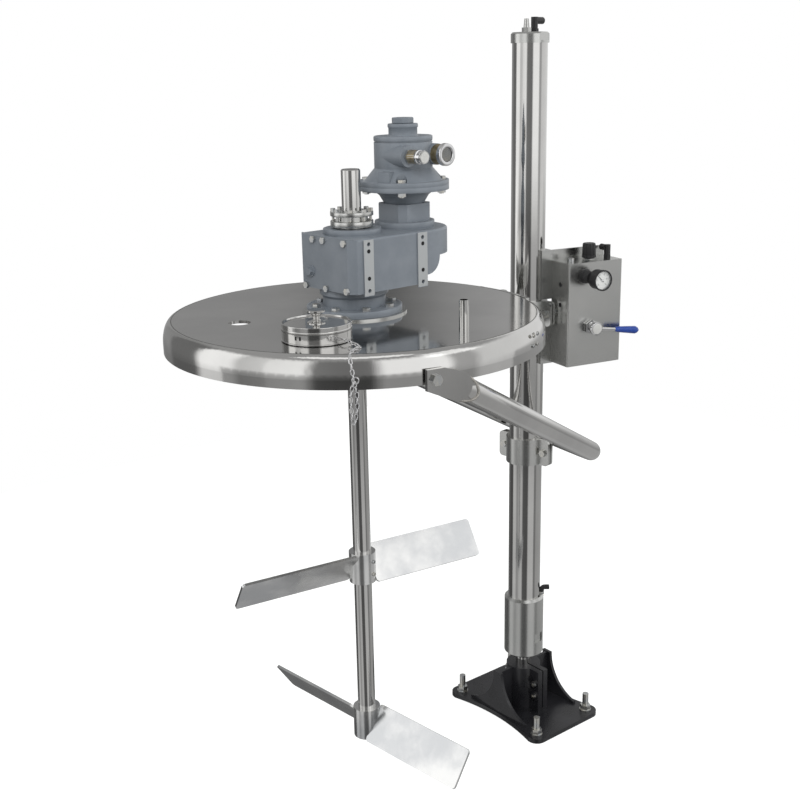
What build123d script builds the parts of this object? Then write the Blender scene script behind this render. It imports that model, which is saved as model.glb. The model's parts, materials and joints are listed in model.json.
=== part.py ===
"""Tank agitator: a vessel lid with a geared air-motor stirrer, carried by a swinging lift column.

Frame: millimetres, +Z up, origin on the column's axis at the underside of the base plate.
X and Y run along the short and the long side of the base plate. Everything that the column
carries is drawn in the head frame, which is turned by head_turn about the column.
"""
from build123d import *
import os
from math import atan2, cos, degrees, hypot, pi, radians, sin, sqrt, tan

# ------------------------------------------------------------------ common clearances
running_gap = 0.05          # radial clearance of a turning or sliding fit
seat_gap = 0.3              # clearance between curved faces that only stand beside each other
hole_gap = 0.5              # radial clearance of a bolt in its hole

# ------------------------------------------------------------------ base
base_thickness = 12
base_half_width = 120       # along X
base_half_length = 172      # along Y
base_corner_radius = 26
base_side_hollow = 20       # how far the long sides curve in
anchor_spacing_x = 184
anchor_spacing_y = 288
anchor_diameter = 16
anchor_stand = 48           # stud length above the plate
anchor_depth = 80           # stud length in the floor
socket_diameter = 90
socket_top = 130
fin_offset = 92             # fins stand this far from the column's axis
fin_thickness = 8
fin_foot_half = 104
fin_head_half = 14
socket_lug_reach = 74
socket_lug_width = 34
socket_slit = 4
pinch_bolt_diameter = 10
pinch_bolt_heights = (58, 92)

# ------------------------------------------------------------------ lift column
rod_diameter = 40
rod_seat = base_thickness   # the rod stands on the plate inside the socket
barrel_diameter = 83.2
barrel_wall = 4
barrel_bottom = 250
cap_bottom = 1731
cap_height = 24
cap_diameter = 90
piston_height = 45
piston_top = 1700
gland_diameter = 103
gland_bottom = 165
gland_top = 330
gland_bore_depth = 85       # how deep the barrel sits in the gland collar
gland_flat_height = 25

# ------------------------------------------------------------------ head
head_turn = 7.6             # turn of the lid's arm against the base
arm_length = 592.4          # column axis to agitator axis
lid_radius = 400
lid_top = 1190
lid_sheet = 6
skirt_wall = 5
skirt_bottom = 1128
rim_round_width = 18
rim_round_height = 44
pad_diameter = 220
pad_height = 4
pad_bore = 110

instrument_hole_diameter = 45
instrument_hole_radius = 249
instrument_hole_angle = 156.1
port_radius_from_axis = 263
port_angle = -149.9
port_bore = 110
port_neck_wall = 4
port_neck_height = 22
cover_diameter = 134
cover_wall = 3
cover_gap = 1.2             # cover skirt above the lid
cover_height = 33
cover_rim = 3
knob_top = 1247
knob_diameter = 34
knob_stem = 12.5
vent_diameter = 20
vent_wall = 2
vent_height = 49
vent_radius = 266
vent_angle = -79.6

# ------------------------------------------------------------------ agitator
shaft_diameter = 40
shaft_top = 1485
shaft_bottom = 182
blade_reach = 300
blade_width = 90
blade_thickness = 6
blade_pitch = 55
upper_hub_middle = 610
upper_hub_height = 71
upper_hub_diameter = 60
upper_blade_angle = -15.5
lower_hub_middle = 221
lower_hub_height = 73
lower_hub_diameter = 62
lower_blade_angle = -91.6

# ------------------------------------------------------------------ gearbox
gearbox_turn = -5
box_half_width = 91
box_bottom = 1245
box_top = 1355
box_deck = 1300             # the motor nose overhangs above this height
cover_face = -75
cover_joint = -60
cover_corner = 17
box_wall = 8
box_toe = 126               # end of the lower part of the housing
toe_arch = 38
pad_proud = 3
flange_diameter = 200
flange_thickness = 12
flange_pitch_diameter = 165
flange_bolt_diameter = 10
neck_diameter = 132
neck_step = 6
top_boss_diameter = 120
top_boss_height = 11
hollow_shaft_diameter = 55
shrink_diameter = 88.5
shrink_sleeve_diameter = 66
pressure_angle = 25
backlash = 0.3
second_module = 4
second_pinion_teeth = 14
second_gear_teeth = 29
first_module = 3
first_pinion_teeth = 12
first_gear_teeth = 27
gear_width = 28
first_gear_width = 20
lay_shaft_diameter = 22
motor_shaft_diameter = 16

# ------------------------------------------------------------------ air motor
motor_foot_diameter = 128
motor_foot_height = 13
lantern_side = 90
lantern_chamfer = 13.4
lantern_top = 1405
cone_top = 1433
cone_radius = 68
motor_flange_diameter = 191.5
motor_flange_thickness = 10
motor_flange_pitch = 160
motor_flange_bolt = 10
skirt_cone_top = 1479
motor_diameter = 123
motor_top = 1544
motor_boss_diameter = 60
motor_boss_top = 1569
plug_side = 38
plug_top = 1588
port_offset = 40            # inlet and outlet ports lie side by side of the motor's axis
port_level = 1506
port_boss_diameter = 44
port_face = 63              # boss faces, from the motor's axis
port_thread_diameter = 18
coupler_end = 111
muffler_end = 92
muffler_diameter = 46

# ------------------------------------------------------------------ clamps and bow
clamp_wall = 8
clamp_ear_offset = 62
clamp_ear_thickness = 8
clamp_ear_gap = 3
clamp_ear_width = 40
clamp_bolt_diameter = 10
lower_clamp_bottom = 705
lower_clamp_top = 772
upper_clamp_bottom = 1066
upper_clamp_top = 1126
saddle_thickness = 8
saddle_span = 52            # degrees
saddle_bottom = 1129
saddle_bolt_height = 1139.5
gusset_offset = 34
gusset_thickness = 8
saddle_top = 1184
bow_diameter = 48.3
bow_wall = 2.6
bow_direction = 24.3        # degrees from +X, looking from the lid's side past the column
bow_front_offset = 165
bow_back_offset = 68
bow_slope = 28.4
bow_slope_direction = -7
bow_height_at_column = 802
bow_loop_past_column = 10
bow_front_length = 860      # cut back to the lug on the skirt
bow_back_length = 640
bow_lug_angle = -106.4
lug_thickness = 8
lug_bolt_diameter = 12
lug_bolt_aside = 51
lug_bolt_above = 20
back_lug_length = 44

# ------------------------------------------------------------------ control box
panel_turn = -19.6
panel_left = 39.5
panel_right = 195
panel_front = -120
panel_back = -49
panel_bottom = 971
panel_top = 1224
panel_sheet = 2
back_plate_left = 9
back_plate_right = 191
back_plate_bottom = 968
back_plate_top = 1250
clamp_window = 4
knob_place = (121, -85)
knob_radius = 17.5
knob_flutes = 12
elbow_place = (175, -85)
cap_screw_place = (70, -85)
gauge_place = (98, 1188)
gauge_stem_place = (84, 1192)
gauge_diameter = 50
valve_place = (105, 1065)
lever_droop = -8
lever_grip_start = 56
lever_grip_end = 128


# ------------------------------------------------------------------ planes
def head_plane(x=0, y=0, z=0, turn=0):
    """Level plane at a point of the head frame, its x axis turned by head_turn + turn."""
    a = radians(head_turn)
    b = radians(head_turn + turn)
    origin = (x * cos(a) - y * sin(a), x * sin(a) + y * cos(a), z)
    return Plane(origin=origin, x_dir=(cos(b), sin(b), 0), z_dir=(0, 0, 1))


def wall_plane(base, x=0, y=0, z=0, turn=0):
    """Upright plane at a point of a level plane: local x is level at the turn, local y is up."""
    origin = base.from_local_coords(Vector(x, y, z))
    along = base.x_dir * cos(radians(turn)) + base.y_dir * sin(radians(turn))
    return Plane(origin=origin, x_dir=along, z_dir=along.cross(Vector(0, 0, 1)))


def upright_axis(base, x=0, y=0):
    """Vertical axis through a point of a level plane."""
    origin = base.from_local_coords(Vector(x, y, 0))
    return Axis((origin.X, origin.Y, 0), (0, 0, 1))


def polar(radius, angle):
    """Point of a level plane at a radius and an angle in degrees."""
    return (radius * cos(radians(angle)), radius * sin(radians(angle)))


ground = Plane.XY
column = head_plane()
lid_plane = head_plane(-arm_length)
gear_plane = head_plane(-arm_length, turn=gearbox_turn)
panel_plane = head_plane(turn=panel_turn)
column_axis = upright_axis(column)
agitator_axis = upright_axis(lid_plane)
lay_offset = second_module * (second_pinion_teeth + second_gear_teeth) / 2
motor_offset = lay_offset + first_module * (first_pinion_teeth + first_gear_teeth) / 2
lay_plane = Plane(gear_plane.from_local_coords(Vector(lay_offset, 0, 0)), gear_plane.x_dir, (0, 0, 1))
motor_plane = Plane(gear_plane.from_local_coords(Vector(motor_offset, 0, 0)), gear_plane.x_dir,
                    (0, 0, 1))
flange_bottom = lid_top + pad_height
flange_top = flange_bottom + flange_thickness
motor_flange_bottom = cone_top
motor_flange_joint = motor_flange_bottom + motor_flange_thickness
motor_flange_top = motor_flange_joint + motor_flange_thickness


# ------------------------------------------------------------------ shared shapes
def revolved(plane, points):
    """Ring or disc of revolution: (radius, height) outline turned about the plane's vertical axis."""
    with BuildPart() as ring:
        with BuildSketch(wall_plane(plane)):
            with BuildLine():
                Polyline(*points, close=True)
            make_face()
        revolve(axis=upright_axis(plane))
    return ring.part


def hex_bolts(seat, spots, diameter, grip, nut=True, socket=False):
    """Bolts with heads on a seat plane, shanks down through the grip and nuts under it."""
    head = diameter * 0.65
    with BuildPart() as bolts:
        with BuildSketch(seat):
            with Locations(*spots):
                if socket:
                    Circle(diameter * 0.8)
                else:
                    RegularPolygon(diameter * 0.92, 6)
        extrude(amount=head)
        if grip > 0:
            with BuildSketch(seat):
                with Locations(*spots):
                    Circle(diameter / 2)
            extrude(amount=-(grip + (diameter if nut else 0)))
        if nut:
            with BuildSketch(seat.offset(-grip)):
                with Locations(*spots):
                    RegularPolygon(diameter * 0.92, 6)
            extrude(amount=-diameter * 0.8)
        if socket:
            with BuildSketch(seat.offset(head)):
                with Locations(*spots):
                    RegularPolygon(diameter * 0.45, 6)
            extrude(amount=-diameter * 0.4, mode=Mode.SUBTRACT)
    return bolts.part


def involute(base_radius, radius):
    """Angle in radians that an involute has turned through where it reaches a radius."""
    t = sqrt(max((radius / base_radius) ** 2 - 1, 0))
    return t - atan2(t, 1)


def spur_gear(plane, module, teeth, bottom, width, bore, first_tooth=0):
    """Involute spur gear: one tooth drawn from its formula and repeated round the root circle."""
    pitch_radius = module * teeth / 2
    base_radius = pitch_radius * cos(radians(pressure_angle))
    tip_radius = pitch_radius + 0.92 * module
    root_radius = pitch_radius - 1.2 * module
    start_radius = max(base_radius, root_radius + 0.2)
    half_pitch_angle = (pi * module / 2 - backlash) / 2 / pitch_radius
    flank = []
    for step in range(4):
        radius = start_radius + (tip_radius - start_radius) * step / 3
        turned = half_pitch_angle + involute(base_radius, pitch_radius) - involute(base_radius, radius)
        flank.append((radius * cos(turned), radius * sin(turned)))
    foot = radians(degrees(atan2(flank[0][1], flank[0][0])))
    inner = ((root_radius - 1) * cos(foot), (root_radius - 1) * sin(foot))
    side = [inner] + flank
    other = [(x, -y) for x, y in reversed(side)]
    with BuildPart() as gear:
        with BuildSketch(plane.offset(bottom)):
            Circle(root_radius)
            with Locations([Location((0, 0), first_tooth + 360 * i / teeth) for i in range(teeth)]):
                Polygon(*side, *other, align=None)
            Circle(bore / 2, mode=Mode.SUBTRACT)
        extrude(amount=width)
    return gear.part


pieces = {}


def keep(part, name):
    """Label a finished piece and remember it for export."""
    part.label = name
    pieces[name] = part


# ================================================================== base (stands on the floor)
with BuildPart() as base:
    with BuildSketch(ground):
        with BuildLine():
            y0 = base_half_length - base_corner_radius - 4
            x0 = base_half_width
            waist = base_half_width - base_side_hollow
            ThreePointArc((x0, -y0), (waist, 0), (x0, y0))
            Polyline((x0, y0), (x0, base_half_length), (-x0, base_half_length), (-x0, y0))
            ThreePointArc((-x0, y0), (-waist, 0), (-x0, -y0))
            Polyline((-x0, -y0), (-x0, -base_half_length), (x0, -base_half_length), (x0, -y0))
        make_face()
        corners = [v for v in vertices() if abs(abs(v.Y) - base_half_length) < 1]
        fillet(corners, base_corner_radius)
        with GridLocations(anchor_spacing_x, anchor_spacing_y, 2, 2):
            Circle(anchor_diameter / 2 + hole_gap, mode=Mode.SUBTRACT)
    extrude(amount=base_thickness)
    with BuildSketch(ground.offset(base_thickness)):
        Circle(socket_diameter / 2)
        with Locations((0, -socket_lug_reach / 2)):
            Rectangle(socket_lug_width, socket_lug_reach)
    extrude(amount=socket_top - base_thickness)
    for side in (-1, 1):
        with BuildSketch(Plane(origin=(side * fin_offset, 0, 0), x_dir=(0, 1, 0), z_dir=(1, 0, 0))):
            with BuildLine():
                Polyline((fin_foot_half, base_thickness + 6), (fin_foot_half, base_thickness),
                         (-fin_foot_half, base_thickness), (-fin_foot_half, base_thickness + 6))
                ThreePointArc((-fin_foot_half, base_thickness + 6), (-38, 58), (-fin_head_half, socket_top))
                Line((-fin_head_half, socket_top), (fin_head_half, socket_top))
                ThreePointArc((fin_head_half, socket_top), (38, 58), (fin_foot_half, base_thickness + 6))
            make_face()
        extrude(amount=fin_thickness / 2, both=True)
    with BuildSketch(ground.offset(base_thickness)):
        Rectangle(2 * fin_offset, fin_thickness)
    extrude(amount=socket_top - base_thickness - 2)
    with BuildSketch(ground.offset(rod_seat)):
        Circle(rod_diameter / 2 + running_gap)
    extrude(amount=socket_top, mode=Mode.SUBTRACT)
    with BuildSketch(ground.offset(base_thickness + 8)):
        with Locations((0, -socket_lug_reach / 2 - 10)):
            Rectangle(socket_slit, socket_lug_reach + 20)
    extrude(amount=socket_top, mode=Mode.SUBTRACT)
    lug_face = Plane(origin=(-socket_lug_width / 2, -60, 0), x_dir=(0, -1, 0), z_dir=(-1, 0, 0))
    with BuildSketch(lug_face):
        with Locations(*[(0, z) for z in pinch_bolt_heights]):
            Circle(pinch_bolt_diameter / 2 + hole_gap)
    extrude(amount=-socket_lug_width, mode=Mode.SUBTRACT)
keep(base.part, "base")

keep(hex_bolts(lug_face, [(0, z) for z in pinch_bolt_heights], pinch_bolt_diameter,
               socket_lug_width, nut=False, socket=True), "pinch_bolts")

with BuildPart() as anchor_bolts:
    with BuildSketch(ground.offset(-anchor_depth)):
        with GridLocations(anchor_spacing_x, anchor_spacing_y, 2, 2):
            Circle(anchor_diameter / 2)
    extrude(amount=anchor_depth + base_thickness + anchor_stand)
    with BuildSketch(ground.offset(base_thickness)):
        with GridLocations(anchor_spacing_x, anchor_spacing_y, 2, 2):
            Circle(anchor_diameter * 0.95)
    extrude(amount=3)
    with BuildSketch(ground.offset(base_thickness + 3)):
        with GridLocations(anchor_spacing_x, anchor_spacing_y, 2, 2):
            RegularPolygon(anchor_diameter * 0.87, 6)
    extrude(amount=anchor_diameter * 0.8)
keep(anchor_bolts.part, "anchor_bolts")

# ================================================================== lift rod (turns in the socket)
with BuildPart() as lift_rod:
    with BuildSketch(ground.offset(rod_seat)):
        Circle(rod_diameter / 2)
    extrude(amount=piston_top - rod_seat)
keep(lift_rod.part, "lift_rod")

barrel_bore = barrel_diameter / 2 - barrel_wall
keep(revolved(column, [
    (rod_diameter / 2, piston_top - piston_height), (barrel_bore - 2.5, piston_top - piston_height),
    (barrel_bore - 2.5, piston_top - 8), (barrel_bore - 6, piston_top - 8),
    (barrel_bore - 6, piston_top), (rod_diameter / 2, piston_top)]), "piston")
seal_rings = [revolved(column, [
    (barrel_bore - 2.5, z), (barrel_bore - running_gap, z), (barrel_bore - running_gap, z + 6),
    (barrel_bore - 2.5, z + 6)]) for z in (piston_top - 40, piston_top - 20)]
keep(Compound(children=seal_rings), "piston_seals")

# ================================================================== column barrel and its ends
keep(revolved(column, [
    (barrel_bore, barrel_bottom), (barrel_diameter / 2, barrel_bottom),
    (barrel_diameter / 2, cap_bottom), (barrel_bore, cap_bottom)]), "barrel")

with BuildPart() as gland:
    with BuildSketch(wall_plane(column)):
        with BuildLine():
            Polyline((rod_diameter / 2 + running_gap, gland_bottom),
                     (gland_diameter / 2 - 4, gland_bottom), (gland_diameter / 2, gland_bottom + 4),
                     (gland_diameter / 2, gland_top - 6), (gland_diameter / 2 - 6, gland_top),
                     (barrel_diameter / 2, gland_top), (barrel_diameter / 2, barrel_bottom),
                     (rod_diameter / 2 + running_gap, barrel_bottom), close=True)
        make_face()
    revolve(axis=column_axis)
    with BuildSketch(column.offset(gland_bottom + 40)):
        with Locations((0, -gland_diameter / 2), (0, gland_diameter / 2)):
            Rectangle(30, 10)
    extrude(amount=gland_flat_height, mode=Mode.SUBTRACT)
keep(gland.part, "gland_collar")

with BuildPart() as top_cap:
    with BuildSketch(column.offset(cap_bottom)):
        Circle(cap_diameter / 2)
    extrude(amount=cap_height)
    chamfer(top_cap.edges().group_by(Axis.Z)[-1], 4)
    with BuildSketch(column.offset(cap_bottom + 5)):
        with Locations((0, -cap_diameter / 2), (0, cap_diameter / 2)):
            Rectangle(36, 8)
    extrude(amount=cap_height, mode=Mode.SUBTRACT)
keep(top_cap.part, "top_cap")

cap_top = cap_bottom + cap_height
with BuildPart() as top_nipple:
    with BuildSketch(column.offset(cap_top)):
        with Locations((-14, 0)):
            RegularPolygon(11, 6)
    extrude(amount=10)
    with BuildSketch(column.offset(cap_top + 10)):
        with Locations((-14, 0)):
            Circle(7)
    extrude(amount=20, taper=6)
keep(top_nipple.part, "top_nipple")

with BuildPart() as top_elbow:
    with BuildSketch(column.offset(cap_top)):
        with Locations((16, 0)):
            RegularPolygon(10, 6)
    extrude(amount=8)
    with BuildSketch(column.offset(cap_top + 8)):
        with Locations((16, 0)):
            Circle(8)
    extrude(amount=26)
    with BuildSketch(wall_plane(column, 16, 0, cap_top + 26, 90)):
        Circle(8)
    extrude(amount=30)
    with BuildSketch(wall_plane(column, 16, 0, cap_top + 26, 90).offset(30)):
        Circle(4.2)
    extrude(amount=-14, mode=Mode.SUBTRACT)
keep(top_elbow.part, "top_elbow")


# ================================================================== clamps round the column
def clamp_half(side, bottom, top):
    """Half of a split clamp: half ring with two drilled ears, on one side of the split."""
    inner = barrel_diameter / 2
    ear_reach = clamp_ear_offset + clamp_ear_width / 2 - 4
    with BuildPart() as half:
        with BuildSketch(column.offset(bottom)):
            Circle(inner + clamp_wall)
            with Locations((side * (clamp_ear_gap / 2 + clamp_ear_thickness / 2), 0)):
                Rectangle(clamp_ear_thickness, 2 * ear_reach)
            Circle(inner, mode=Mode.SUBTRACT)
            with Locations((-side * 100 + side * clamp_ear_gap / 2, 0)):
                Rectangle(200, 300, mode=Mode.SUBTRACT)
        extrude(amount=top - bottom)
        ear_face = wall_plane(column, side * 30, 0, 0, 90)
        with BuildSketch(ear_face):
            for ear in (-1, 1):
                with Locations((ear * clamp_ear_offset, (bottom + top) / 2)):
                    Circle(clamp_bolt_diameter / 2 + hole_gap)
        extrude(amount=30, both=True, mode=Mode.SUBTRACT)
        corners = half.edges().filter_by(lambda e: e.length < clamp_ear_thickness + 0.1)
        outer = [e for e in corners if abs(abs(column.to_local_coords(e.center()).Y) - ear_reach) < 0.5]
        fillet(outer, 10)
    return half.part


clamp_seat = clamp_ear_gap / 2 + clamp_ear_thickness


def cross_bolts(side, bottom, top):
    """Two cross bolts of a clamp, heads on one side of the split."""
    seat = Plane(column.from_local_coords(Vector(side * clamp_seat, 0, (bottom + top) / 2)),
                 x_dir=column.y_dir, z_dir=side * column.x_dir)
    return hex_bolts(seat, [(-clamp_ear_offset, 0), (clamp_ear_offset, 0)], clamp_bolt_diameter,
                     2 * clamp_seat)


keep(clamp_half(-1, lower_clamp_bottom, lower_clamp_top), "lower_clamp_lid_side")
keep(clamp_half(1, lower_clamp_bottom, lower_clamp_top), "lower_clamp_far_side")
keep(clamp_half(1, upper_clamp_bottom, upper_clamp_top), "upper_clamp_far_side")
keep(Compound(children=[cross_bolts(-1, lower_clamp_bottom, lower_clamp_top),
                        cross_bolts(1, upper_clamp_bottom, upper_clamp_top)]), "clamp_bolts")

# ------------------------------------------------------------------ lid bracket
saddle_inner = lid_radius + seat_gap
saddle_bolt_angles = (-22, -10, 10, 22)


def saddle_seat(angle):
    """Upright plane on the outside of the saddle, looking away from the lid."""
    return wall_plane(lid_plane, *polar(saddle_inner + saddle_thickness, angle), saddle_bolt_height,
                      angle + 90)


with BuildPart() as lid_bracket:
    with BuildSketch(lid_plane.offset(saddle_bottom)):
        Circle(saddle_inner + saddle_thickness)
        Circle(saddle_inner, mode=Mode.SUBTRACT)
        with BuildLine():
            far = 2 * lid_radius
            Polyline((0, 0), polar(far, -saddle_span / 2), (far, 0), polar(far, saddle_span / 2), close=True)
        make_face(mode=Mode.INTERSECT)
    extrude(amount=saddle_top - saddle_bottom)
    for side in (-1, 1):
        with BuildSketch(wall_plane(column, 0, side * gusset_offset, 0)):
            with BuildLine():
                tip = saddle_inner - arm_length
                Polyline((-28, upper_clamp_bottom + 4), (-28, upper_clamp_top), (-60, upper_clamp_top),
                         (tip + 60, saddle_top - 12), (tip, saddle_top - 6), (tip, saddle_bottom + 2),
                         (tip + 60, saddle_bottom - 14), (-62, upper_clamp_bottom + 4), close=True)
            make_face()
        extrude(amount=gusset_thickness / 2, both=True)
    with BuildSketch(lid_plane):
        Circle(saddle_inner)
    extrude(amount=2 * lid_top, mode=Mode.SUBTRACT)
    add(clamp_half(-1, upper_clamp_bottom, upper_clamp_top))
    with BuildSketch(column):
        Circle(barrel_diameter / 2)
    extrude(amount=2 * lid_top, mode=Mode.SUBTRACT)
    for angle in saddle_bolt_angles:
        with BuildSketch(saddle_seat(angle)):
            Circle(4 + hole_gap)
        extrude(amount=-2 * saddle_thickness, mode=Mode.SUBTRACT)
keep(lid_bracket.part, "lid_bracket")

# ================================================================== bow (bent tube past the column)
slope = tan(radians(bow_slope))


def bow_point(along, side):
    """Point of the bow's plane: distance along its direction, and to the side of the column."""
    a = radians(bow_direction)
    x = along * cos(a) - side * sin(a)
    y = along * sin(a) + side * cos(a)
    s = radians(bow_slope_direction)
    z = bow_height_at_column - slope * (x * cos(s) + y * sin(s))
    return Vector(x, y, z)


front_end = bow_point(-bow_front_length, -bow_front_offset)
front_turn = bow_point(bow_loop_past_column, -bow_front_offset)
bow_along = (front_turn - front_end).normalized()
bow_across = (bow_point(0, bow_back_offset) - bow_point(0, -bow_front_offset))
bow_across = (bow_across - bow_along * bow_across.dot(bow_along))
bow_loop_radius = bow_across.length / 2
bow_across = bow_across.normalized()
back_turn = front_turn + bow_across * 2 * bow_loop_radius
loop_tip = front_turn + bow_across * bow_loop_radius + bow_along * bow_loop_radius
back_end = back_turn - bow_along * bow_back_length
lug_plane = wall_plane(lid_plane, *polar(lid_radius + seat_gap, bow_lug_angle), 0, bow_lug_angle + 90)
start = lug_plane.to_local_coords(front_end)
step = lug_plane.to_local_coords(front_turn) - start
lug_spot = (start.X - step.X * start.Z / step.Z, start.Y - step.Y * start.Z / step.Z)
lug_bolt_spot = (lug_spot[0] - lug_bolt_aside, lug_spot[1] + lug_bolt_above)
with BuildPart() as bow:
    with BuildLine():
        Line(front_end, front_turn)
        ThreePointArc(front_turn, loop_tip, back_turn)
        Line(back_turn, back_end)
    with BuildSketch(Plane(front_end, z_dir=bow_along)):
        Circle(bow_diameter / 2)
        Circle(bow_diameter / 2 - bow_wall, mode=Mode.SUBTRACT)
    sweep()
    with BuildSketch(lug_plane):
        with Locations(lug_spot):
            Rectangle(8 * bow_diameter, 8 * bow_diameter)
    extrude(amount=8 * bow_diameter, mode=Mode.SUBTRACT)
    with BuildSketch(lid_plane.offset(skirt_bottom - seat_gap)):
        Circle(lid_radius + 2 * seat_gap)
        Circle(lid_radius - skirt_wall - seat_gap, mode=Mode.SUBTRACT)
    extrude(amount=rim_round_height, mode=Mode.SUBTRACT)
keep(bow.part, "bow")

back_lug_plane = Plane(back_end + bow_along * back_lug_length / 2, x_dir=Vector(bow_along.X, bow_along.Y, 0),
                       z_dir=Vector(bow_along.X, bow_along.Y, 0).cross(Vector(0, 0, 1)))
with BuildPart() as back_lug:
    with BuildSketch(back_lug_plane):
        with Locations((0, (lid_top - lid_sheet - back_lug_plane.origin.Z) / 2)):
            Rectangle(back_lug_length, lid_top - lid_sheet - back_lug_plane.origin.Z)
    extrude(amount=lug_thickness / 2, both=True)
    with BuildSketch(Plane(back_end - bow_along * bow_diameter, z_dir=bow_along)):
        Circle(bow_diameter / 2)
    extrude(amount=4 * back_lug_length, mode=Mode.SUBTRACT)
with BuildPart() as front_lug:
    with BuildSketch(lug_plane):
        with Locations(lug_spot):
            Circle(bow_diameter / 2 + 4)
        with Locations(lug_bolt_spot):
            Rectangle(36, 40)
        make_hull()
        with Locations(lug_bolt_spot):
            Circle(lug_bolt_diameter / 2 + hole_gap, mode=Mode.SUBTRACT)
    extrude(amount=lug_thickness)
keep(Compound(children=[front_lug.part, back_lug.part]), "bow_lugs")
keep(hex_bolts(lug_plane.offset(lug_thickness), [lug_bolt_spot], lug_bolt_diameter,
               lug_thickness + skirt_wall + 5.5), "bow_lug_bolt")

# ================================================================== lid
port_spot = polar(port_radius_from_axis, port_angle)
vent_spot = polar(vent_radius, vent_angle)
hole_spot = polar(instrument_hole_radius, instrument_hole_angle)
bolt_circle_spots = [polar(flange_pitch_diameter / 2, 22.5 + 45 * i) for i in range(8)]
with BuildPart() as lid:
    with BuildSketch(wall_plane(lid_plane)):
        with BuildLine():
            straight = lid_top - rim_round_height
            Line((pad_bore / 2, lid_top), (lid_radius - rim_round_width, lid_top))
            EllipticalCenterArc((lid_radius - rim_round_width, straight), rim_round_width,
                                rim_round_height, arc_size=90)
            Polyline((lid_radius, straight), (lid_radius, skirt_bottom),
                     (lid_radius - skirt_wall, skirt_bottom), (lid_radius - skirt_wall, straight))
            Polyline((lid_radius - skirt_wall, straight),
                     (lid_radius - rim_round_width * 0.6, lid_top - lid_sheet * 2),
                     (lid_radius - rim_round_width, lid_top - lid_sheet),
                     (pad_bore / 2, lid_top - lid_sheet), (pad_bore / 2, lid_top))
        make_face()
    revolve(axis=agitator_axis)
    with BuildSketch(lid_plane.offset(lid_top)):
        with Locations(port_spot):
            Circle(port_bore / 2 + port_neck_wall)
    extrude(amount=port_neck_height)
    with BuildSketch(lid_plane.offset(lid_top - 30)):
        with Locations(port_spot):
            Circle(port_bore / 2)
        with Locations(hole_spot):
            Circle(instrument_hole_diameter / 2)
        with Locations(vent_spot):
            Circle(vent_diameter / 2 - vent_wall)
    extrude(amount=80, mode=Mode.SUBTRACT)
    with BuildSketch(gear_plane.offset(lid_top - 30)):
        with Locations(*bolt_circle_spots):
            Circle(flange_bolt_diameter / 2 + hole_gap)
    extrude(amount=60, mode=Mode.SUBTRACT)
    for angle in saddle_bolt_angles:
        with BuildSketch(saddle_seat(angle)):
            Circle(4 + hole_gap)
        extrude(amount=-3 * saddle_thickness, mode=Mode.SUBTRACT)
    with BuildSketch(lug_plane):
        with Locations(lug_bolt_spot):
            Circle(lug_bolt_diameter / 2 + hole_gap)
    extrude(amount=-20, mode=Mode.SUBTRACT)
keep(lid.part, "lid")

keep(Compound(children=[hex_bolts(saddle_seat(angle), [(0, 0)], 8,
                                  saddle_thickness + skirt_wall + 2 * seat_gap)
                        for angle in saddle_bolt_angles]), "saddle_bolts")

with BuildPart() as vent_pipe:
    with BuildSketch(lid_plane.offset(lid_top)):
        with Locations(vent_spot):
            Circle(vent_diameter / 2)
            Circle(vent_diameter / 2 - vent_wall, mode=Mode.SUBTRACT)
    extrude(amount=vent_height)
keep(vent_pipe.part, "vent_pipe")

with BuildPart() as gearbox_pad:
    with BuildSketch(gear_plane.offset(lid_top)):
        Circle(pad_diameter / 2)
        Circle(pad_bore / 2, mode=Mode.SUBTRACT)
        with Locations(*bolt_circle_spots):
            Circle(flange_bolt_diameter / 2 + hole_gap, mode=Mode.SUBTRACT)
    extrude(amount=pad_height)
keep(gearbox_pad.part, "gearbox_pad")

# ================================================================== port cover
port_plane = Plane(lid_plane.from_local_coords(Vector(*port_spot, 0)), lid_plane.x_dir, (0, 0, 1))
cover_bottom = lid_top + cover_gap
cover_top = cover_bottom + cover_height
neck_top = lid_top + port_neck_height
keep(revolved(port_plane, [
    (0, neck_top + seat_gap), (cover_diameter / 2 - cover_wall, neck_top + seat_gap),
    (cover_diameter / 2 - cover_wall, cover_bottom), (cover_diameter / 2, cover_bottom),
    (cover_diameter / 2, cover_top), (cover_diameter / 2 - cover_rim, cover_top),
    (cover_diameter / 2 - cover_rim - 1.5, cover_top - 2.5), (0, cover_top - 2.5)]), "port_cover")

with BuildPart() as cover_knob:
    with BuildSketch(wall_plane(port_plane)):
        with BuildLine():
            Polyline((0, cover_top - 2.5), (knob_stem / 2 + 3, cover_top - 2.5),
                     (knob_stem / 2, cover_top + 1), (knob_stem / 2 + 1, knob_top - 12),
                     (knob_diameter / 2 - 4, knob_top - 6), (knob_diameter / 2, knob_top - 3.5),
                     (knob_diameter / 2, knob_top - 1), (knob_diameter / 2 - 1.5, knob_top),
                     (0, knob_top), close=True)
        make_face()
    revolve(axis=upright_axis(port_plane))
keep(cover_knob.part, "cover_knob")

# ================================================================== agitator shaft and propellers
keep(revolved(lid_plane, [
    (0, shaft_bottom), (shaft_diameter / 2, shaft_bottom), (shaft_diameter / 2, shaft_top - 2),
    (shaft_diameter / 2 - 2, shaft_top), (0, shaft_top)]), "agitator_shaft")


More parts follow.
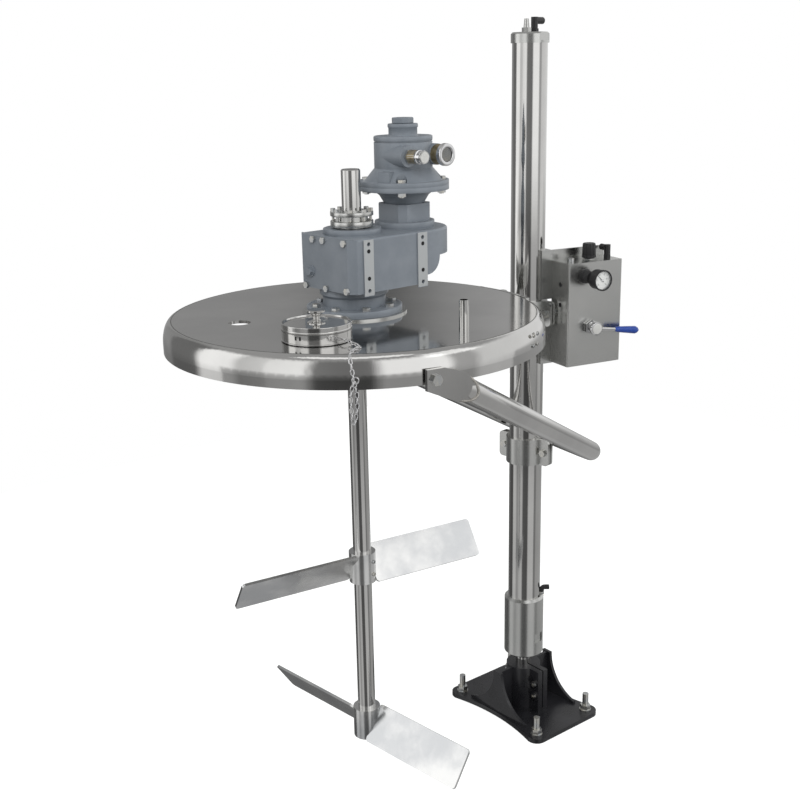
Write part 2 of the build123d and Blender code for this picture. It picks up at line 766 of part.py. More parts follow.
def propeller(middle, height, diameter, angle):
    """Hub on the shaft with two opposite flat blades, pitched about their own length."""
    with BuildPart() as hub:
        for end in (0, 180):
            root = lid_plane.offset(middle)
            along = root.x_dir * cos(radians(angle + end)) + root.y_dir * sin(radians(angle + end))
            level = Vector(0, 0, 1).cross(along)
            across = level * cos(radians(blade_pitch)) + Vector(0, 0, 1) * sin(radians(blade_pitch))
            with BuildSketch(Plane(root.origin, x_dir=along, z_dir=along.cross(across))):
                with Locations(((shaft_diameter / 2 + 2 + blade_reach) / 2, 0)):
                    Rectangle(blade_reach - shaft_diameter / 2 - 2, blade_width)
                fillet([v for v in vertices() if hypot(*(v.center() - root.origin)) > blade_reach], 8)
            extrude(amount=blade_thickness / 2, both=True)
        with BuildSketch(lid_plane.offset(middle - height / 2)):
            Circle(diameter / 2)
        extrude(amount=height)
        with BuildSketch(lid_plane.offset(middle - height)):
            Circle(shaft_diameter / 2)
        extrude(amount=2 * height, mode=Mode.SUBTRACT)
    return hub.part


keep(propeller(upper_hub_middle, upper_hub_height, upper_hub_diameter, upper_blade_angle), "upper_propeller")
keep(propeller(lower_hub_middle, lower_hub_height, lower_hub_diameter, lower_blade_angle), "lower_propeller")

# ================================================================== gearbox castings
with BuildPart() as output_flange:
    with BuildSketch(wall_plane(lid_plane)):
        with BuildLine():
            r_in = 42
            Polyline((r_in, flange_bottom), (flange_diameter / 2, flange_bottom),
                     (flange_diameter / 2, flange_top), (neck_diameter / 2, flange_top),
                     (neck_diameter / 2, flange_top + 20), (neck_diameter / 2 + neck_step, flange_top + 26),
                     (neck_diameter / 2 + neck_step, box_bottom), (r_in, box_bottom), close=True)
        make_face()
    revolve(axis=agitator_axis)
    with BuildSketch(gear_plane.offset(flange_bottom)):
        with Locations(*bolt_circle_spots):
            Circle(flange_bolt_diameter / 2 + hole_gap)
    extrude(amount=flange_thickness, mode=Mode.SUBTRACT)
keep(output_flange.part, "output_flange")
keep(hex_bolts(gear_plane.offset(flange_top), bolt_circle_spots, flange_bolt_diameter,
               flange_thickness + pad_height + lid_sheet), "flange_bolts")

hollow_bore = hollow_shaft_diameter / 2 + 1
inner_bottom = box_bottom + box_wall
inner_top = box_top - box_wall
deck_floor = box_deck + 5
lay_bearing_radius = 21
output_bearing_radius = 41
bearing_height = 8


def housing_outline(inset):
    """Plan of the housing: straight sides from the cover joint, ending round the motor axis."""
    half = box_half_width - inset
    with BuildSketch() as outline:
        with BuildLine():
            Line((cover_joint, -half), (motor_offset, -half))
            ThreePointArc((motor_offset, -half), (motor_offset + half, 0), (motor_offset, half))
            Polyline((motor_offset, half), (cover_joint, half), (cover_joint, -half))
        make_face()
    return outline.sketch


with BuildPart() as gear_housing:
    with BuildSketch(gear_plane.offset(box_bottom)):
        add(housing_outline(0))
    extrude(amount=box_top - box_bottom)
    with BuildSketch(wall_plane(gear_plane)):
        with BuildLine():
            Polyline((box_toe + toe_arch, box_deck), (300, box_deck), (300, box_bottom - 20),
                     (box_toe, box_bottom - 20), (box_toe, box_deck - toe_arch))
            RadiusArc((box_toe, box_deck - toe_arch), (box_toe + toe_arch, box_deck), -toe_arch)
        make_face()
    extrude(amount=200, both=True, mode=Mode.SUBTRACT)
    fillet(gear_housing.edges().filter_by(lambda e: e.center().Z > box_top - 0.1
                                          and e.length > 100), 5)
    with BuildSketch(gear_plane.offset(box_top)):
        Circle(top_boss_diameter / 2)
    extrude(amount=top_boss_height)
    for side in (-1, 1):
        with BuildSketch(wall_plane(gear_plane, 0, side * box_half_width, 0)):
            for u_left, u_right in ((-47, -22), (98, 124)):
                with Locations(((u_left + u_right) / 2, (box_bottom + box_top) / 2 - 4)):
                    Rectangle(u_right - u_left, box_top - box_bottom + 4)
        extrude(amount=-side * pad_proud)
        with BuildSketch(wall_plane(gear_plane, 0, side * (box_half_width + pad_proud), 0)):
            with Locations((-34.5, 1344), (-34.5, 1250), (111, 1343), (111, 1250)):
                Circle(4.25)
        extrude(amount=side * (pad_proud + 5), mode=Mode.SUBTRACT)
    with BuildSketch(gear_plane.offset(inner_bottom)):
        with Locations(((cover_joint + box_toe - box_wall) / 2, 0)):
            Rectangle(box_toe - box_wall - cover_joint, 2 * (box_half_width - box_wall))
    extrude(amount=inner_top - inner_bottom, mode=Mode.SUBTRACT)
    with BuildSketch(gear_plane.offset(deck_floor)):
        add(housing_outline(box_wall))
    extrude(amount=inner_top - deck_floor, mode=Mode.SUBTRACT)
    for height in (inner_bottom, inner_top - bearing_height):
        with BuildSketch(gear_plane.offset(height)):
            Circle(output_bearing_radius + 6)
            with Locations((lay_offset, 0)):
                Circle(lay_bearing_radius + 5)
        extrude(amount=bearing_height)
        with BuildSketch(gear_plane.offset(height)):
            Circle(output_bearing_radius)
            with Locations((lay_offset, 0)):
                Circle(lay_bearing_radius)
        extrude(amount=bearing_height, mode=Mode.SUBTRACT)
    with BuildSketch(gear_plane.offset(box_bottom)):
        Circle(hollow_bore)
    extrude(amount=200, mode=Mode.SUBTRACT)
    with BuildSketch(motor_plane.offset(inner_top - 1)):
        Circle(26)
    extrude(amount=box_wall + 2, mode=Mode.SUBTRACT)
keep(gear_housing.part, "gear_housing")

with BuildPart() as gear_cover:
    half = box_half_width
    with BuildSketch(gear_plane.offset(box_bottom)):
        with BuildLine():
            Polyline((cover_joint, -half), (cover_joint, half), (cover_joint - 3, half),
                     (cover_face, half - cover_corner), (cover_face, -half + cover_corner),
                     (cover_joint - 3, -half), close=True)
        make_face()
    extrude(amount=box_top - box_bottom)
    with BuildSketch(gear_plane.offset(inner_bottom)):
        with Locations((cover_joint - 3.5, 0)):
            Rectangle(7, 2 * (half - cover_corner - 4))
    extrude(amount=inner_top - inner_bottom, mode=Mode.SUBTRACT)
keep(gear_cover.part, "gear_cover")

cover_seat = Plane(gear_plane.from_local_coords(Vector(cover_face, 0, 0)), x_dir=-gear_plane.y_dir,
                   z_dir=-gear_plane.x_dir)
cover_screw_spots = [(-35, 1347), (-1.5, 1347), (66, 1347), (72, 1251), (5, 1249), (-62, 1249)]
keep(hex_bolts(cover_seat, cover_screw_spots, 8, 0, nut=False), "cover_screws")
with BuildPart() as level_plug:
    with BuildSketch(cover_seat):
        with Locations((-46, 1280)):
            Circle(12)
    extrude(amount=3)
    with BuildSketch(cover_seat.offset(3)):
        with Locations((-46, 1280)):
            RegularPolygon(9, 6)
    extrude(amount=6)
keep(level_plug.part, "level_plug")

# ------------------------------------------------------------------ bearings
bearing_rings = []
for height in (inner_bottom, inner_top - bearing_height):
    bearing_rings.append(revolved(gear_plane, [
        (hollow_shaft_diameter / 2 + running_gap, height), (output_bearing_radius, height),
        (output_bearing_radius, height + bearing_height),
        (hollow_shaft_diameter / 2 + running_gap, height + bearing_height)]))
    bearing_rings.append(revolved(lay_plane, [
        (lay_shaft_diameter / 2 + running_gap, height), (lay_bearing_radius, height),
        (lay_bearing_radius, height + bearing_height),
        (lay_shaft_diameter / 2 + running_gap, height + bearing_height)]))
keep(Compound(children=bearing_rings), "gearbox_bearings")

# ------------------------------------------------------------------ gear train
second_gear_bottom = inner_bottom + bearing_height + 3
first_gear_bottom = deck_floor + 2
keep(revolved(gear_plane, [
    (shaft_diameter / 2 + 0.02, flange_bottom + 6), (hollow_shaft_diameter / 2, flange_bottom + 6),
    (hollow_shaft_diameter / 2, 1402), (shaft_diameter / 2 + 0.02, 1402)]), "hollow_shaft")
keep(spur_gear(gear_plane, second_module, second_gear_teeth, second_gear_bottom, gear_width,
               hollow_shaft_diameter, 0), "output_gear")
with BuildPart() as lay_shaft:
    add(spur_gear(lay_plane, second_module, second_pinion_teeth, second_gear_bottom - 1,
                  gear_width + 2, 0.001, 180 + 180 / second_pinion_teeth))
    add(spur_gear(lay_plane, first_module, first_gear_teeth, first_gear_bottom, first_gear_width,
                  0.001, 0))
    with BuildSketch(lay_plane.offset(inner_bottom + 0.3)):
        Circle(lay_shaft_diameter / 2)
    extrude(amount=inner_top - inner_bottom - 0.6)
keep(lay_shaft.part, "lay_shaft")

rotor_bottom = skirt_cone_top + 4
rotor_top = motor_top - 16
with BuildPart() as motor_rotor:
    add(spur_gear(motor_plane, first_module, first_pinion_teeth, first_gear_bottom - 1,
                  first_gear_width + 2, 0.001, 180 + 180 / first_pinion_teeth))
    with BuildSketch(motor_plane.offset(first_gear_bottom)):
        Circle(motor_shaft_diameter / 2)
    extrude(amount=rotor_top - first_gear_bottom)
    with BuildSketch(motor_plane.offset(rotor_bottom)):
        Circle(36)
        with PolarLocations(34, 5):
            Rectangle(16, 4)
    extrude(amount=rotor_top - rotor_bottom - 2)
keep(motor_rotor.part, "motor_rotor")

# ------------------------------------------------------------------ shrink disc
shrink_bottom = box_top + top_boss_height + 4
keep(Compound(children=[
    revolved(gear_plane, [(hollow_shaft_diameter / 2, shrink_bottom),
                          (shrink_sleeve_diameter / 2, shrink_bottom),
                          (shrink_sleeve_diameter / 2, shrink_bottom + 30),
                          (hollow_shaft_diameter / 2, shrink_bottom + 30)]),
    revolved(gear_plane, [(shrink_sleeve_diameter / 2, shrink_bottom),
                          (shrink_diameter / 2, shrink_bottom),
                          (shrink_diameter / 2, shrink_bottom + 11),
                          (shrink_sleeve_diameter / 2, shrink_bottom + 12)]),
    revolved(gear_plane, [(shrink_sleeve_diameter / 2, shrink_bottom + 21),
                          (shrink_diameter / 2, shrink_bottom + 22),
                          (shrink_diameter / 2, shrink_bottom + 30),
                          (shrink_sleeve_diameter / 2, shrink_bottom + 30)])]), "shrink_disc")
shrink_spots = [polar(38.8, 45 * i) for i in range(8)]
with BuildPart() as shrink_screws:
    with BuildSketch(gear_plane.offset(shrink_bottom + 30)):
        with Locations(*shrink_spots):
            RegularPolygon(5.6, 6)
    extrude(amount=6)
    with BuildSketch(gear_plane.offset(shrink_bottom + 12)):
        with Locations(*shrink_spots):
            Circle(2.9)
    extrude(amount=9)
keep(shrink_screws.part, "shrink_screws")

# ================================================================== air motor
with BuildPart() as motor_lantern:
    with BuildSketch(motor_plane.offset(box_top)):
        Circle(motor_foot_diameter / 2)
    extrude(amount=motor_foot_height)
    with BuildSketch(motor_plane.offset(box_top + motor_foot_height)):
        Rectangle(lantern_side, lantern_side)
        chamfer(vertices(), lantern_chamfer)
    extrude(amount=lantern_top - box_top - motor_foot_height)
    with BuildSketch(wall_plane(motor_plane)):
        with BuildLine():
            Polyline((0, lantern_top), (lantern_side / 2 - 2, lantern_top),
                     (lantern_side / 2 + 8, lantern_top + 17), (cone_radius, cone_top),
                     (motor_flange_diameter / 2, cone_top),
                     (motor_flange_diameter / 2, motor_flange_joint), (0, motor_flange_joint),
                     close=True)
        make_face()
    revolve(axis=upright_axis(motor_plane))
    with BuildSketch(motor_plane.offset(box_top)):
        Circle(24)
    extrude(amount=motor_flange_joint - box_top, mode=Mode.SUBTRACT)
    with BuildSketch(motor_plane.offset(motor_flange_bottom)):
        with PolarLocations(motor_flange_pitch / 2, 4, start_angle=45):
            Circle(motor_flange_bolt / 2 + hole_gap)
    extrude(amount=motor_flange_thickness, mode=Mode.SUBTRACT)
keep(motor_lantern.part, "motor_lantern")



def port_plane_at(distance):
    """Upright plane in front of the motor, looking out along its two air ports."""
    return wall_plane(motor_plane, 0, -distance, port_level, 0)


with BuildPart() as motor_body:
    with BuildSketch(wall_plane(motor_plane)):
        with BuildLine():
            r_shaft = motor_shaft_diameter / 2 + running_gap
            Polyline((r_shaft, motor_flange_joint), (motor_flange_diameter / 2, motor_flange_joint),
                     (motor_flange_diameter / 2, motor_flange_top),
                     (motor_flange_diameter / 2 - 12, motor_flange_top),
                     (motor_diameter / 2, skirt_cone_top), (motor_diameter / 2, 1532),
                     (motor_diameter / 2 - 1.5, 1532), (motor_diameter / 2 - 1.5, 1534),
                     (44, 1534), (44, rotor_bottom - 2), (r_shaft, rotor_bottom - 2), close=True)
        make_face()
    revolve(axis=upright_axis(motor_plane))
    with BuildSketch(port_plane_at(0)):
        with Locations((-port_offset, 0), (port_offset, 0)):
            Circle(port_boss_diameter / 2)
    extrude(amount=port_face)
    with BuildSketch(motor_plane.offset(motor_flange_top)):
        with Locations(Location(polar(72, 200), 20)):
            Rectangle(30, 26)
    extrude(amount=skirt_cone_top - 4 - motor_flange_top)
    with BuildSketch(motor_plane.offset(rotor_bottom - 2)):
        Circle(44)
    extrude(amount=1534 - rotor_bottom + 2, mode=Mode.SUBTRACT)
    with BuildSketch(port_plane_at(port_face)):
        with Locations((-port_offset, 0), (port_offset, 0)):
            Circle(port_thread_diameter / 2 + hole_gap)
    extrude(amount=-24, mode=Mode.SUBTRACT)
    with BuildSketch(motor_plane.offset(motor_flange_joint)):
        with PolarLocations(motor_flange_pitch / 2, 4, start_angle=45):
            Circle(motor_flange_bolt / 2 + hole_gap)
    extrude(amount=motor_flange_thickness, mode=Mode.SUBTRACT)
    with BuildSketch(motor_plane.offset(motor_flange_top)):
        with PolarLocations(motor_flange_pitch / 2, 4, start_angle=45):
            Circle(motor_flange_bolt * 1.15)
    extrude(amount=30, mode=Mode.SUBTRACT)
keep(motor_body.part, "motor_body")

keep(revolved(motor_plane, [
    (0, 1534), (motor_diameter / 2, 1534), (motor_diameter / 2, motor_top - 3),
    (motor_diameter / 2 - 3, motor_top), (motor_boss_diameter / 2, motor_top),
    (motor_boss_diameter / 2, motor_boss_top), (0, motor_boss_top)]), "motor_cap")
with BuildPart() as motor_plug:
    with BuildSketch(motor_plane.offset(motor_boss_top)):
        Rectangle(plug_side * 0.71, plug_side * 0.71)
        chamfer(vertices(), 3)
    extrude(amount=plug_top - motor_boss_top)
keep(motor_plug.part, "motor_plug")
with BuildPart() as air_coupler:
    for start, end, radius in ((port_face - 14, port_face, port_thread_diameter / 2),
                               (port_face + 6, port_face + 34, 14), (port_face + 34, coupler_end, 12.5)):
        with BuildSketch(port_plane_at(start)):
            with Locations((-port_offset, 0)):
                Circle(radius)
        extrude(amount=end - start)
    with BuildSketch(port_plane_at(port_face)):
        with Locations((-port_offset, 0)):
            RegularPolygon(15.5, 6)
    extrude(amount=6)
keep(air_coupler.part, "air_coupler")
with BuildPart() as muffler:
    for start, end, radius in ((port_face - 14, port_face, port_thread_diameter / 2),
                               (port_face, muffler_end - 9, muffler_diameter / 2 - 2),
                               (muffler_end - 9, muffler_end, muffler_diameter / 2)):
        with BuildSketch(port_plane_at(start)):
            with Locations((port_offset, 0)):
                Circle(radius)
        extrude(amount=end - start)
    with BuildSketch(port_plane_at(muffler_end)):
        with Locations((port_offset, 0)):
            Circle(muffler_diameter / 2 - 8)
    extrude(amount=-4, mode=Mode.SUBTRACT)
keep(muffler.part, "muffler")
motor_bolt_spots = [polar(motor_flange_pitch / 2, 45 + 90 * i) for i in range(4)]
keep(hex_bolts(motor_plane.offset(motor_flange_top), motor_bolt_spots, motor_flange_bolt,
               2 * motor_flange_thickness), "motor_bolts")

# ================================================================== control box
with BuildPart() as panel_box:
    with BuildSketch(panel_plane.offset(panel_bottom)):
        with Locations(((panel_left + panel_right) / 2, (panel_front + panel_back) / 2)):
            Rectangle(panel_right - panel_left, panel_back - panel_front)
    extrude(amount=panel_top - panel_bottom)
    fillet(panel_box.edges().filter_by(Axis.Z).sort_by(
        lambda e: panel_plane.to_local_coords(e.center()).Y)[:2], 3)
    with BuildSketch(panel_plane.offset(panel_bottom + panel_sheet)):
        with Locations(((panel_left + panel_right) / 2, (panel_front + panel_back) / 2 + panel_sheet)):
            Rectangle(panel_right - panel_left - 2 * panel_sheet, panel_back - panel_front)
    extrude(amount=panel_top - panel_bottom - 2 * panel_sheet, mode=Mode.SUBTRACT)
keep(panel_box.part, "panel_box")

with BuildPart() as back_plate:
    with BuildSketch(panel_plane.offset(back_plate_bottom)):
        with Locations(((back_plate_left + back_plate_right) / 2, panel_back + panel_sheet / 2)):
            Rectangle(back_plate_right - back_plate_left, panel_sheet)
    extrude(amount=back_plate_top - back_plate_bottom)
    with BuildSketch(panel_plane.offset(upper_clamp_bottom - clamp_window)):
        with Locations((0, panel_back)):
            Rectangle(80, 40)
    extrude(amount=upper_clamp_top - upper_clamp_bottom + 2 * clamp_window, mode=Mode.SUBTRACT)
keep(back_plate.part, "back_plate")

with BuildPart() as mount_rail:
    with BuildSketch(panel_plane.offset(back_plate_bottom)):
        with Locations((back_plate_left + 14, panel_back + panel_sheet + 12)):
            Rectangle(28, 24)
        with Locations(panel_plane.to_local_coords(Vector(0, 0, 0))):
            Circle(barrel_diameter / 2, mode=Mode.SUBTRACT)
    extrude(amount=back_plate_top - back_plate_bottom)
    with BuildSketch(panel_plane.offset(upper_clamp_bottom - clamp_window)):
        with Locations((0, panel_back)):
            Rectangle(200, 200)
    extrude(amount=upper_clamp_top - upper_clamp_bottom + 2 * clamp_window, mode=Mode.SUBTRACT)
keep(mount_rail.part, "mount_rail")

panel_seat = wall_plane(panel_plane, 0, panel_front, 0)
with BuildPart() as gauge_stem:
    with BuildSketch(panel_seat):
        with Locations(gauge_stem_place):
            RegularPolygon(12.5, 6)
    extrude(amount=14)
    with BuildSketch(panel_seat.offset(14)):
        with Locations(gauge_stem_place):
            Circle(7)
    extrude(amount=16)
gauge_plane = Plane(panel_seat.from_local_coords(Vector(*gauge_place, 30)), x_dir=panel_seat.x_dir,
                    z_dir=panel_seat.z_dir)
with BuildPart() as gauge_body:
    add(gauge_stem.part)
    with BuildSketch(gauge_plane):
        Circle(gauge_diameter / 2 - 1.5)
    extrude(amount=26)
    with BuildSketch(gauge_plane.offset(22)):
        Circle(gauge_diameter / 2)
    extrude(amount=6)
    with BuildSketch(gauge_plane.offset(28)):
        Circle(gauge_diameter / 2 - 3)
    extrude(amount=-7, mode=Mode.SUBTRACT)
keep(gauge_body.part, "gauge_body")
with BuildPart() as gauge_needle:
    with BuildSketch(gauge_plane.offset(21 + seat_gap)):
        Circle(3)
        with Locations(Location((0, 0), 135)):
            Polygon((-6, -1.2), (18, -0.4), (18, 0.4), (-6, 1.2), align=None)
    extrude(amount=1.2)
keep(gauge_needle.part, "gauge_needle")

with BuildPart() as valve_stem:
    with BuildSketch(panel_seat):
        with Locations(valve_place):
            RegularPolygon(14, 6)
    extrude(amount=10)
    with BuildSketch(panel_seat.offset(10)):
        with Locations(valve_place):
            Circle(9)
    extrude(amount=8)
keep(valve_stem.part, "valve_stem")
valve_plane = Plane(panel_seat.from_local_coords(Vector(*valve_place, 18 + seat_gap)),
                    x_dir=panel_seat.x_dir, z_dir=panel_seat.z_dir)
with BuildPart() as valve_cap:
    with BuildSketch(valve_plane):
        Circle(16)
    extrude(amount=12)
    chamfer(valve_cap.edges().sort_by(lambda e: valve_plane.to_local_coords(e.center()).Z)[-1], 2)
    lever_axis = Plane(valve_plane.from_local_coords(Vector(0, 0, 6)),
                       x_dir=valve_plane.z_dir,
                       z_dir=valve_plane.x_dir * cos(radians(lever_droop))
                       + valve_plane.y_dir * sin(radians(lever_droop)))
    with BuildSketch(lever_axis):
        Circle(4)
    extrude(amount=lever_grip_end - 4)
keep(valve_cap.part, "valve_cap")
with BuildPart() as lever_grip:
    with BuildSketch(lever_axis.offset(lever_grip_start)):
        Circle(7)
    extrude(amount=lever_grip_end - lever_grip_start)
    chamfer(lever_grip.edges(), 2)
    with BuildSketch(lever_axis):
        Circle(4)
    extrude(amount=lever_grip_end - 4, mode=Mode.SUBTRACT)
keep(lever_grip.part, "lever_grip")

panel_roof = panel_plane.offset(panel_top)
with BuildPart() as regulator_neck:
    with BuildSketch(panel_roof):
        with Locations(knob_place):
            Circle(13)
    extrude(amount=6)
keep(regulator_neck.part, "regulator_neck")
with BuildPart() as regulator_knob:
    with BuildSketch(panel_roof.offset(6 + seat_gap)):
        with Locations(knob_place):
            Circle(knob_radius)
            with Locations(Location(knob_place)):
                with PolarLocations(knob_radius, knob_flutes):
                    Circle(1.6, mode=Mode.SUBTRACT)
    extrude(amount=34)
keep(regulator_knob.part, "regulator_knob")
with BuildPart() as panel_elbow:
    with BuildSketch(panel_roof):
        with Locations(elbow_place):
            RegularPolygon(9, 6)
    extrude(amount=8)
    with BuildSketch(panel_roof.offset(8)):
        with Locations(elbow_place):
            Circle(8)
    extrude(amount=24)
    with BuildSketch(wall_plane(panel_plane, *elbow_place, panel_top + 24, 0)):
        Circle(7.5)
    extrude(amount=-24)
keep(panel_elbow.part, "panel_elbow")
with BuildPart() as cap_screw:
    with BuildSketch(panel_roof):
        with Locations(cap_screw_place):
            Circle(7)
    extrude(amount=8)
keep(cap_screw.part, "cap_screw")

# ================================================================== export
os.makedirs("parts", exist_ok=True)
for name, part in pieces.items():
    export_step(part, "parts/" + name + ".step")
print(len(pieces), "pieces written")
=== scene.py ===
# %% [markdown]
# # A tank agitator in polished steel
# The object is a vessel lid with a geared air motor and a propeller shaft, carried by a
# lifting column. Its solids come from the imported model; this lesson dresses them: it sets
# up the studio, gives every piece a finish made of nodes, and adds the thin parts that a
# solid model leaves out.

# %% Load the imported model
import bmesh
import bpy
import json
import math
import numpy as np
from mathutils import Matrix, Vector


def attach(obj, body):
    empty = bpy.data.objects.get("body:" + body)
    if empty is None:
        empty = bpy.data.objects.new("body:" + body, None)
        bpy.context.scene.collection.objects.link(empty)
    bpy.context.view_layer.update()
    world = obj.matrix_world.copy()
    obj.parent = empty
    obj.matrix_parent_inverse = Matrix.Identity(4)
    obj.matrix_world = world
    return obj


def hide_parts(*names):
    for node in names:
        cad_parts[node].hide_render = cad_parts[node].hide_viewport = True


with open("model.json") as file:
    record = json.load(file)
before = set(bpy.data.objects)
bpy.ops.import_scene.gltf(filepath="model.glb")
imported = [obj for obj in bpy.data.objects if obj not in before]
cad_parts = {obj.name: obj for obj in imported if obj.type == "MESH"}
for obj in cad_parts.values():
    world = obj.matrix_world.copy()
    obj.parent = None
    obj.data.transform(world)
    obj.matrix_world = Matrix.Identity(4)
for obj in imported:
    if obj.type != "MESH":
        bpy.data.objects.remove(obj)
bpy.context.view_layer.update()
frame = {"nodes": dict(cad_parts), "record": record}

scene = bpy.context.scene

# %% [markdown]
# ## Where the main parts stand
# Three groups are turned a little about the vertical: the arm with its lid, the gearbox
# with its motor, and the control box. Their angles and centres are written once, and the
# places of the added pieces are worked out from them. Lengths are metres, angles degrees.

# %% Turns and centres
arm_turn, gear_turn, panel_turn = 7.6, 2.6, -12.0
lid_centre = (-0.5872, -0.0783)
motor_centre = (-0.4429, -0.0717)
print("turned by", arm_turn, gear_turn, panel_turn)

# %% [markdown]
# ## Shader maths as Python expressions
# A material is a network of small nodes. Wiring them by hand hides the idea, so one class
# wraps a socket and lets ordinary Python operators add the Math nodes. Each operator has
# its reflected form too, so that 1 - mask works.


# %% A socket that can be added, multiplied and compared
class Value:
    """A shader value: a socket in one node tree, with Python's operators adding Math nodes."""

    def __init__(self, shader, socket):
        self.shader, self.socket = shader, socket

    def maths(self, operation, a, b=0.0):
        return self.shader.node("ShaderNodeMath", {"operation": operation}, {0: a, 1: b})

    def __add__(self, other): return self.maths("ADD", self, other)
    def __radd__(self, other): return self.maths("ADD", other, self)
    def __sub__(self, other): return self.maths("SUBTRACT", self, other)
    def __rsub__(self, other): return self.maths("SUBTRACT", other, self)
    def __mul__(self, other): return self.maths("MULTIPLY", self, other)
    def __rmul__(self, other): return self.maths("MULTIPLY", other, self)
    def __truediv__(self, other): return self.maths("DIVIDE", self, other)
    def __gt__(self, other): return self.maths("GREATER_THAN", self, other)
    def __lt__(self, other): return self.maths("LESS_THAN", self, other)
    def __abs__(self): return self.maths("ABSOLUTE", self)

    def smooth(self, low, high):
        """Rises from 0 to 1, smoothly, between low and high."""
        return self.shader.node("ShaderNodeMapRange", {"interpolation_type": "SMOOTHSTEP"},
                                {"Value": self, "From Min": low, "From Max": high})

    def band(self, rise, fall):
        """1 between two soft edges, each given by the values where it starts and ends."""
        return self.smooth(*rise) * (1 - self.smooth(*fall))


# %% [markdown]
# ## One method for every node
# A finish needs only a few kinds of node. A second class holds the material and adds any
# node from its type, its settings and its sockets, and names the ones used most: object
# coordinates, noise, a blend of two colours, and a bump.


# %% A material under construction
class Shader:
    """A node material under construction."""

    def __init__(self, name):
        self.material = bpy.data.materials.new(name)
        self.material.use_nodes = True
        self.tree = self.material.node_tree
        self.surface = self.tree.nodes["Principled BSDF"]

    def node(self, kind, settings=None, inputs=None, output=0):
        """Add a node of a kind, with its settings first and then its socket values or links."""
        added = self.tree.nodes.new(kind)
        for key, setting in (settings or {}).items():
            if key == "stops":
                ramp = added.color_ramp
                while len(ramp.elements) < len(setting):
                    ramp.elements.new(0.5)
                for element, (place, colour) in zip(ramp.elements, setting):
                    element.position = place
                    element.color = (*colour, 1)
            else:
                setattr(added, key, setting)
        for key, value in (inputs or {}).items():
            self.put(added.inputs[key], value)
        return Value(self, added.outputs[output])

    def put(self, socket, value):
        """Link a value to a socket, or set the socket's own number or colour."""
        if isinstance(value, Value):
            self.tree.links.new(value.socket, socket)
        elif isinstance(value, (tuple, list)) and len(value) == 3 and socket.type == "RGBA":
            socket.default_value = (*value, 1)
        else:
            socket.default_value = value

    def axes(self, vector):
        """The x, y and z of a vector, as three values."""
        parts = self.node("ShaderNodeSeparateXYZ", {}, {0: vector})
        return [Value(self, output) for output in parts.socket.node.outputs]

    def spot(self):
        return self.node("ShaderNodeTexCoord", output="Object")

    def noise(self, scale, detail, stretch=(1, 1, 1)):
        """Noise on object coordinates, which are stretched along each axis first."""
        place = self.node("ShaderNodeMapping", {}, {"Vector": self.spot(), "Scale": stretch})
        return self.node("ShaderNodeTexNoise", {}, {"Vector": place, "Scale": scale,
                                                    "Detail": detail, "Roughness": 0.55})

    def blend(self, mask, low, high):
        """Colour low where the mask is 0 and high where it is 1."""
        return self.node("ShaderNodeMix", {"data_type": "RGBA"}, {0: mask, 6: low, 7: high}, output=2)

    def bump(self, height, strength, distance):
        self.put(self.surface.inputs["Normal"], self.node(
            "ShaderNodeBump", {}, {"Height": height, "Strength": strength, "Distance": distance}))

    def finish(self, **sockets):
        """Set the surface's sockets by name, with _ for a space, and give the material."""
        for key, value in sockets.items():
            self.put(self.surface.inputs[key.replace("_", " ")], value)
        return self.material


# %% [markdown]
# ## The camera
# The camera stands to the front left at head height. It could be aimed with a constraint,
# but three written directions also fix its roll: the matrix is those directions in columns.

# %% Camera
camera_place = (-2.0115, -2.0222, 1.6824)
look_right = Vector((0.7800, -0.6255, -0.0193))
look_up = Vector((0.1866, 0.2030, 0.9613))
look_back = look_right.cross(look_up).normalized()
look_up = look_back.cross(look_right).normalized()
look_right.normalize()
camera_turn = Matrix((look_right, look_up, look_back)).transposed().to_4x4()
camera = bpy.data.objects.new("camera", bpy.data.cameras.new("camera"))
camera.matrix_world = Matrix.Translation(camera_place) @ camera_turn
camera.data.sensor_width, camera.data.lens, camera.data.clip_end = 36, 52.35, 60
scene.collection.objects.link(camera)
scene.camera = camera
print("camera looks along", [round(-v, 3) for v in look_back])

# %% [markdown]
# ## The studio
# Bright steel shows only what stands round it. A room of real panels would do, but they
# would show in other views. So the world itself is a ring of light and dark panels that
# the metal mirrors, while the camera sees plain white.

# %% The world's directions
scene.view_settings.view_transform = "Standard"
world = bpy.data.worlds.new("studio")
scene.world = world
world.use_nodes = True


class Room(Shader):
    """The world's node tree, handled like a material."""

    def __init__(self, surroundings):
        self.tree = surroundings.node_tree
        self.tree.nodes.clear()


room = Room(world)
east, north, high = room.axes(room.node("ShaderNodeTexCoord", output="Generated"))
way_round = east.maths("ARCTAN2", north, east) / (2 * math.pi) + 0.5

# %% The ring of panels
# Each stop is an angle from +X and the brightness of the wall there.
walls = [(-180, 1.1), (-157, 1.25), (-150, 0.25), (-118, 0.22), (-110, 1.3), (-73, 1.3),
         (-67, 0.5), (-55, 0.5), (-49, 0.85), (-18, 0.9), (36, 0.9), (45, 0.42), (49, 0.3),
         (52, 0.12), (57, 0.3), (74, 0.36), (79, 0.3), (94, 0.33), (99, 0.2), (127, 0.2),
         (133, 1.3), (157, 1.3), (163, 0.75), (180, 0.9)]
brightest = 1.35
stops = [((angle + 180) / 360, (level / brightest,) * 3) for angle, level in walls]
ring = room.node("ShaderNodeValToRGB", {"stops": stops}, {0: way_round}) * brightest
print(len(walls), "stops of light and dark round the room")

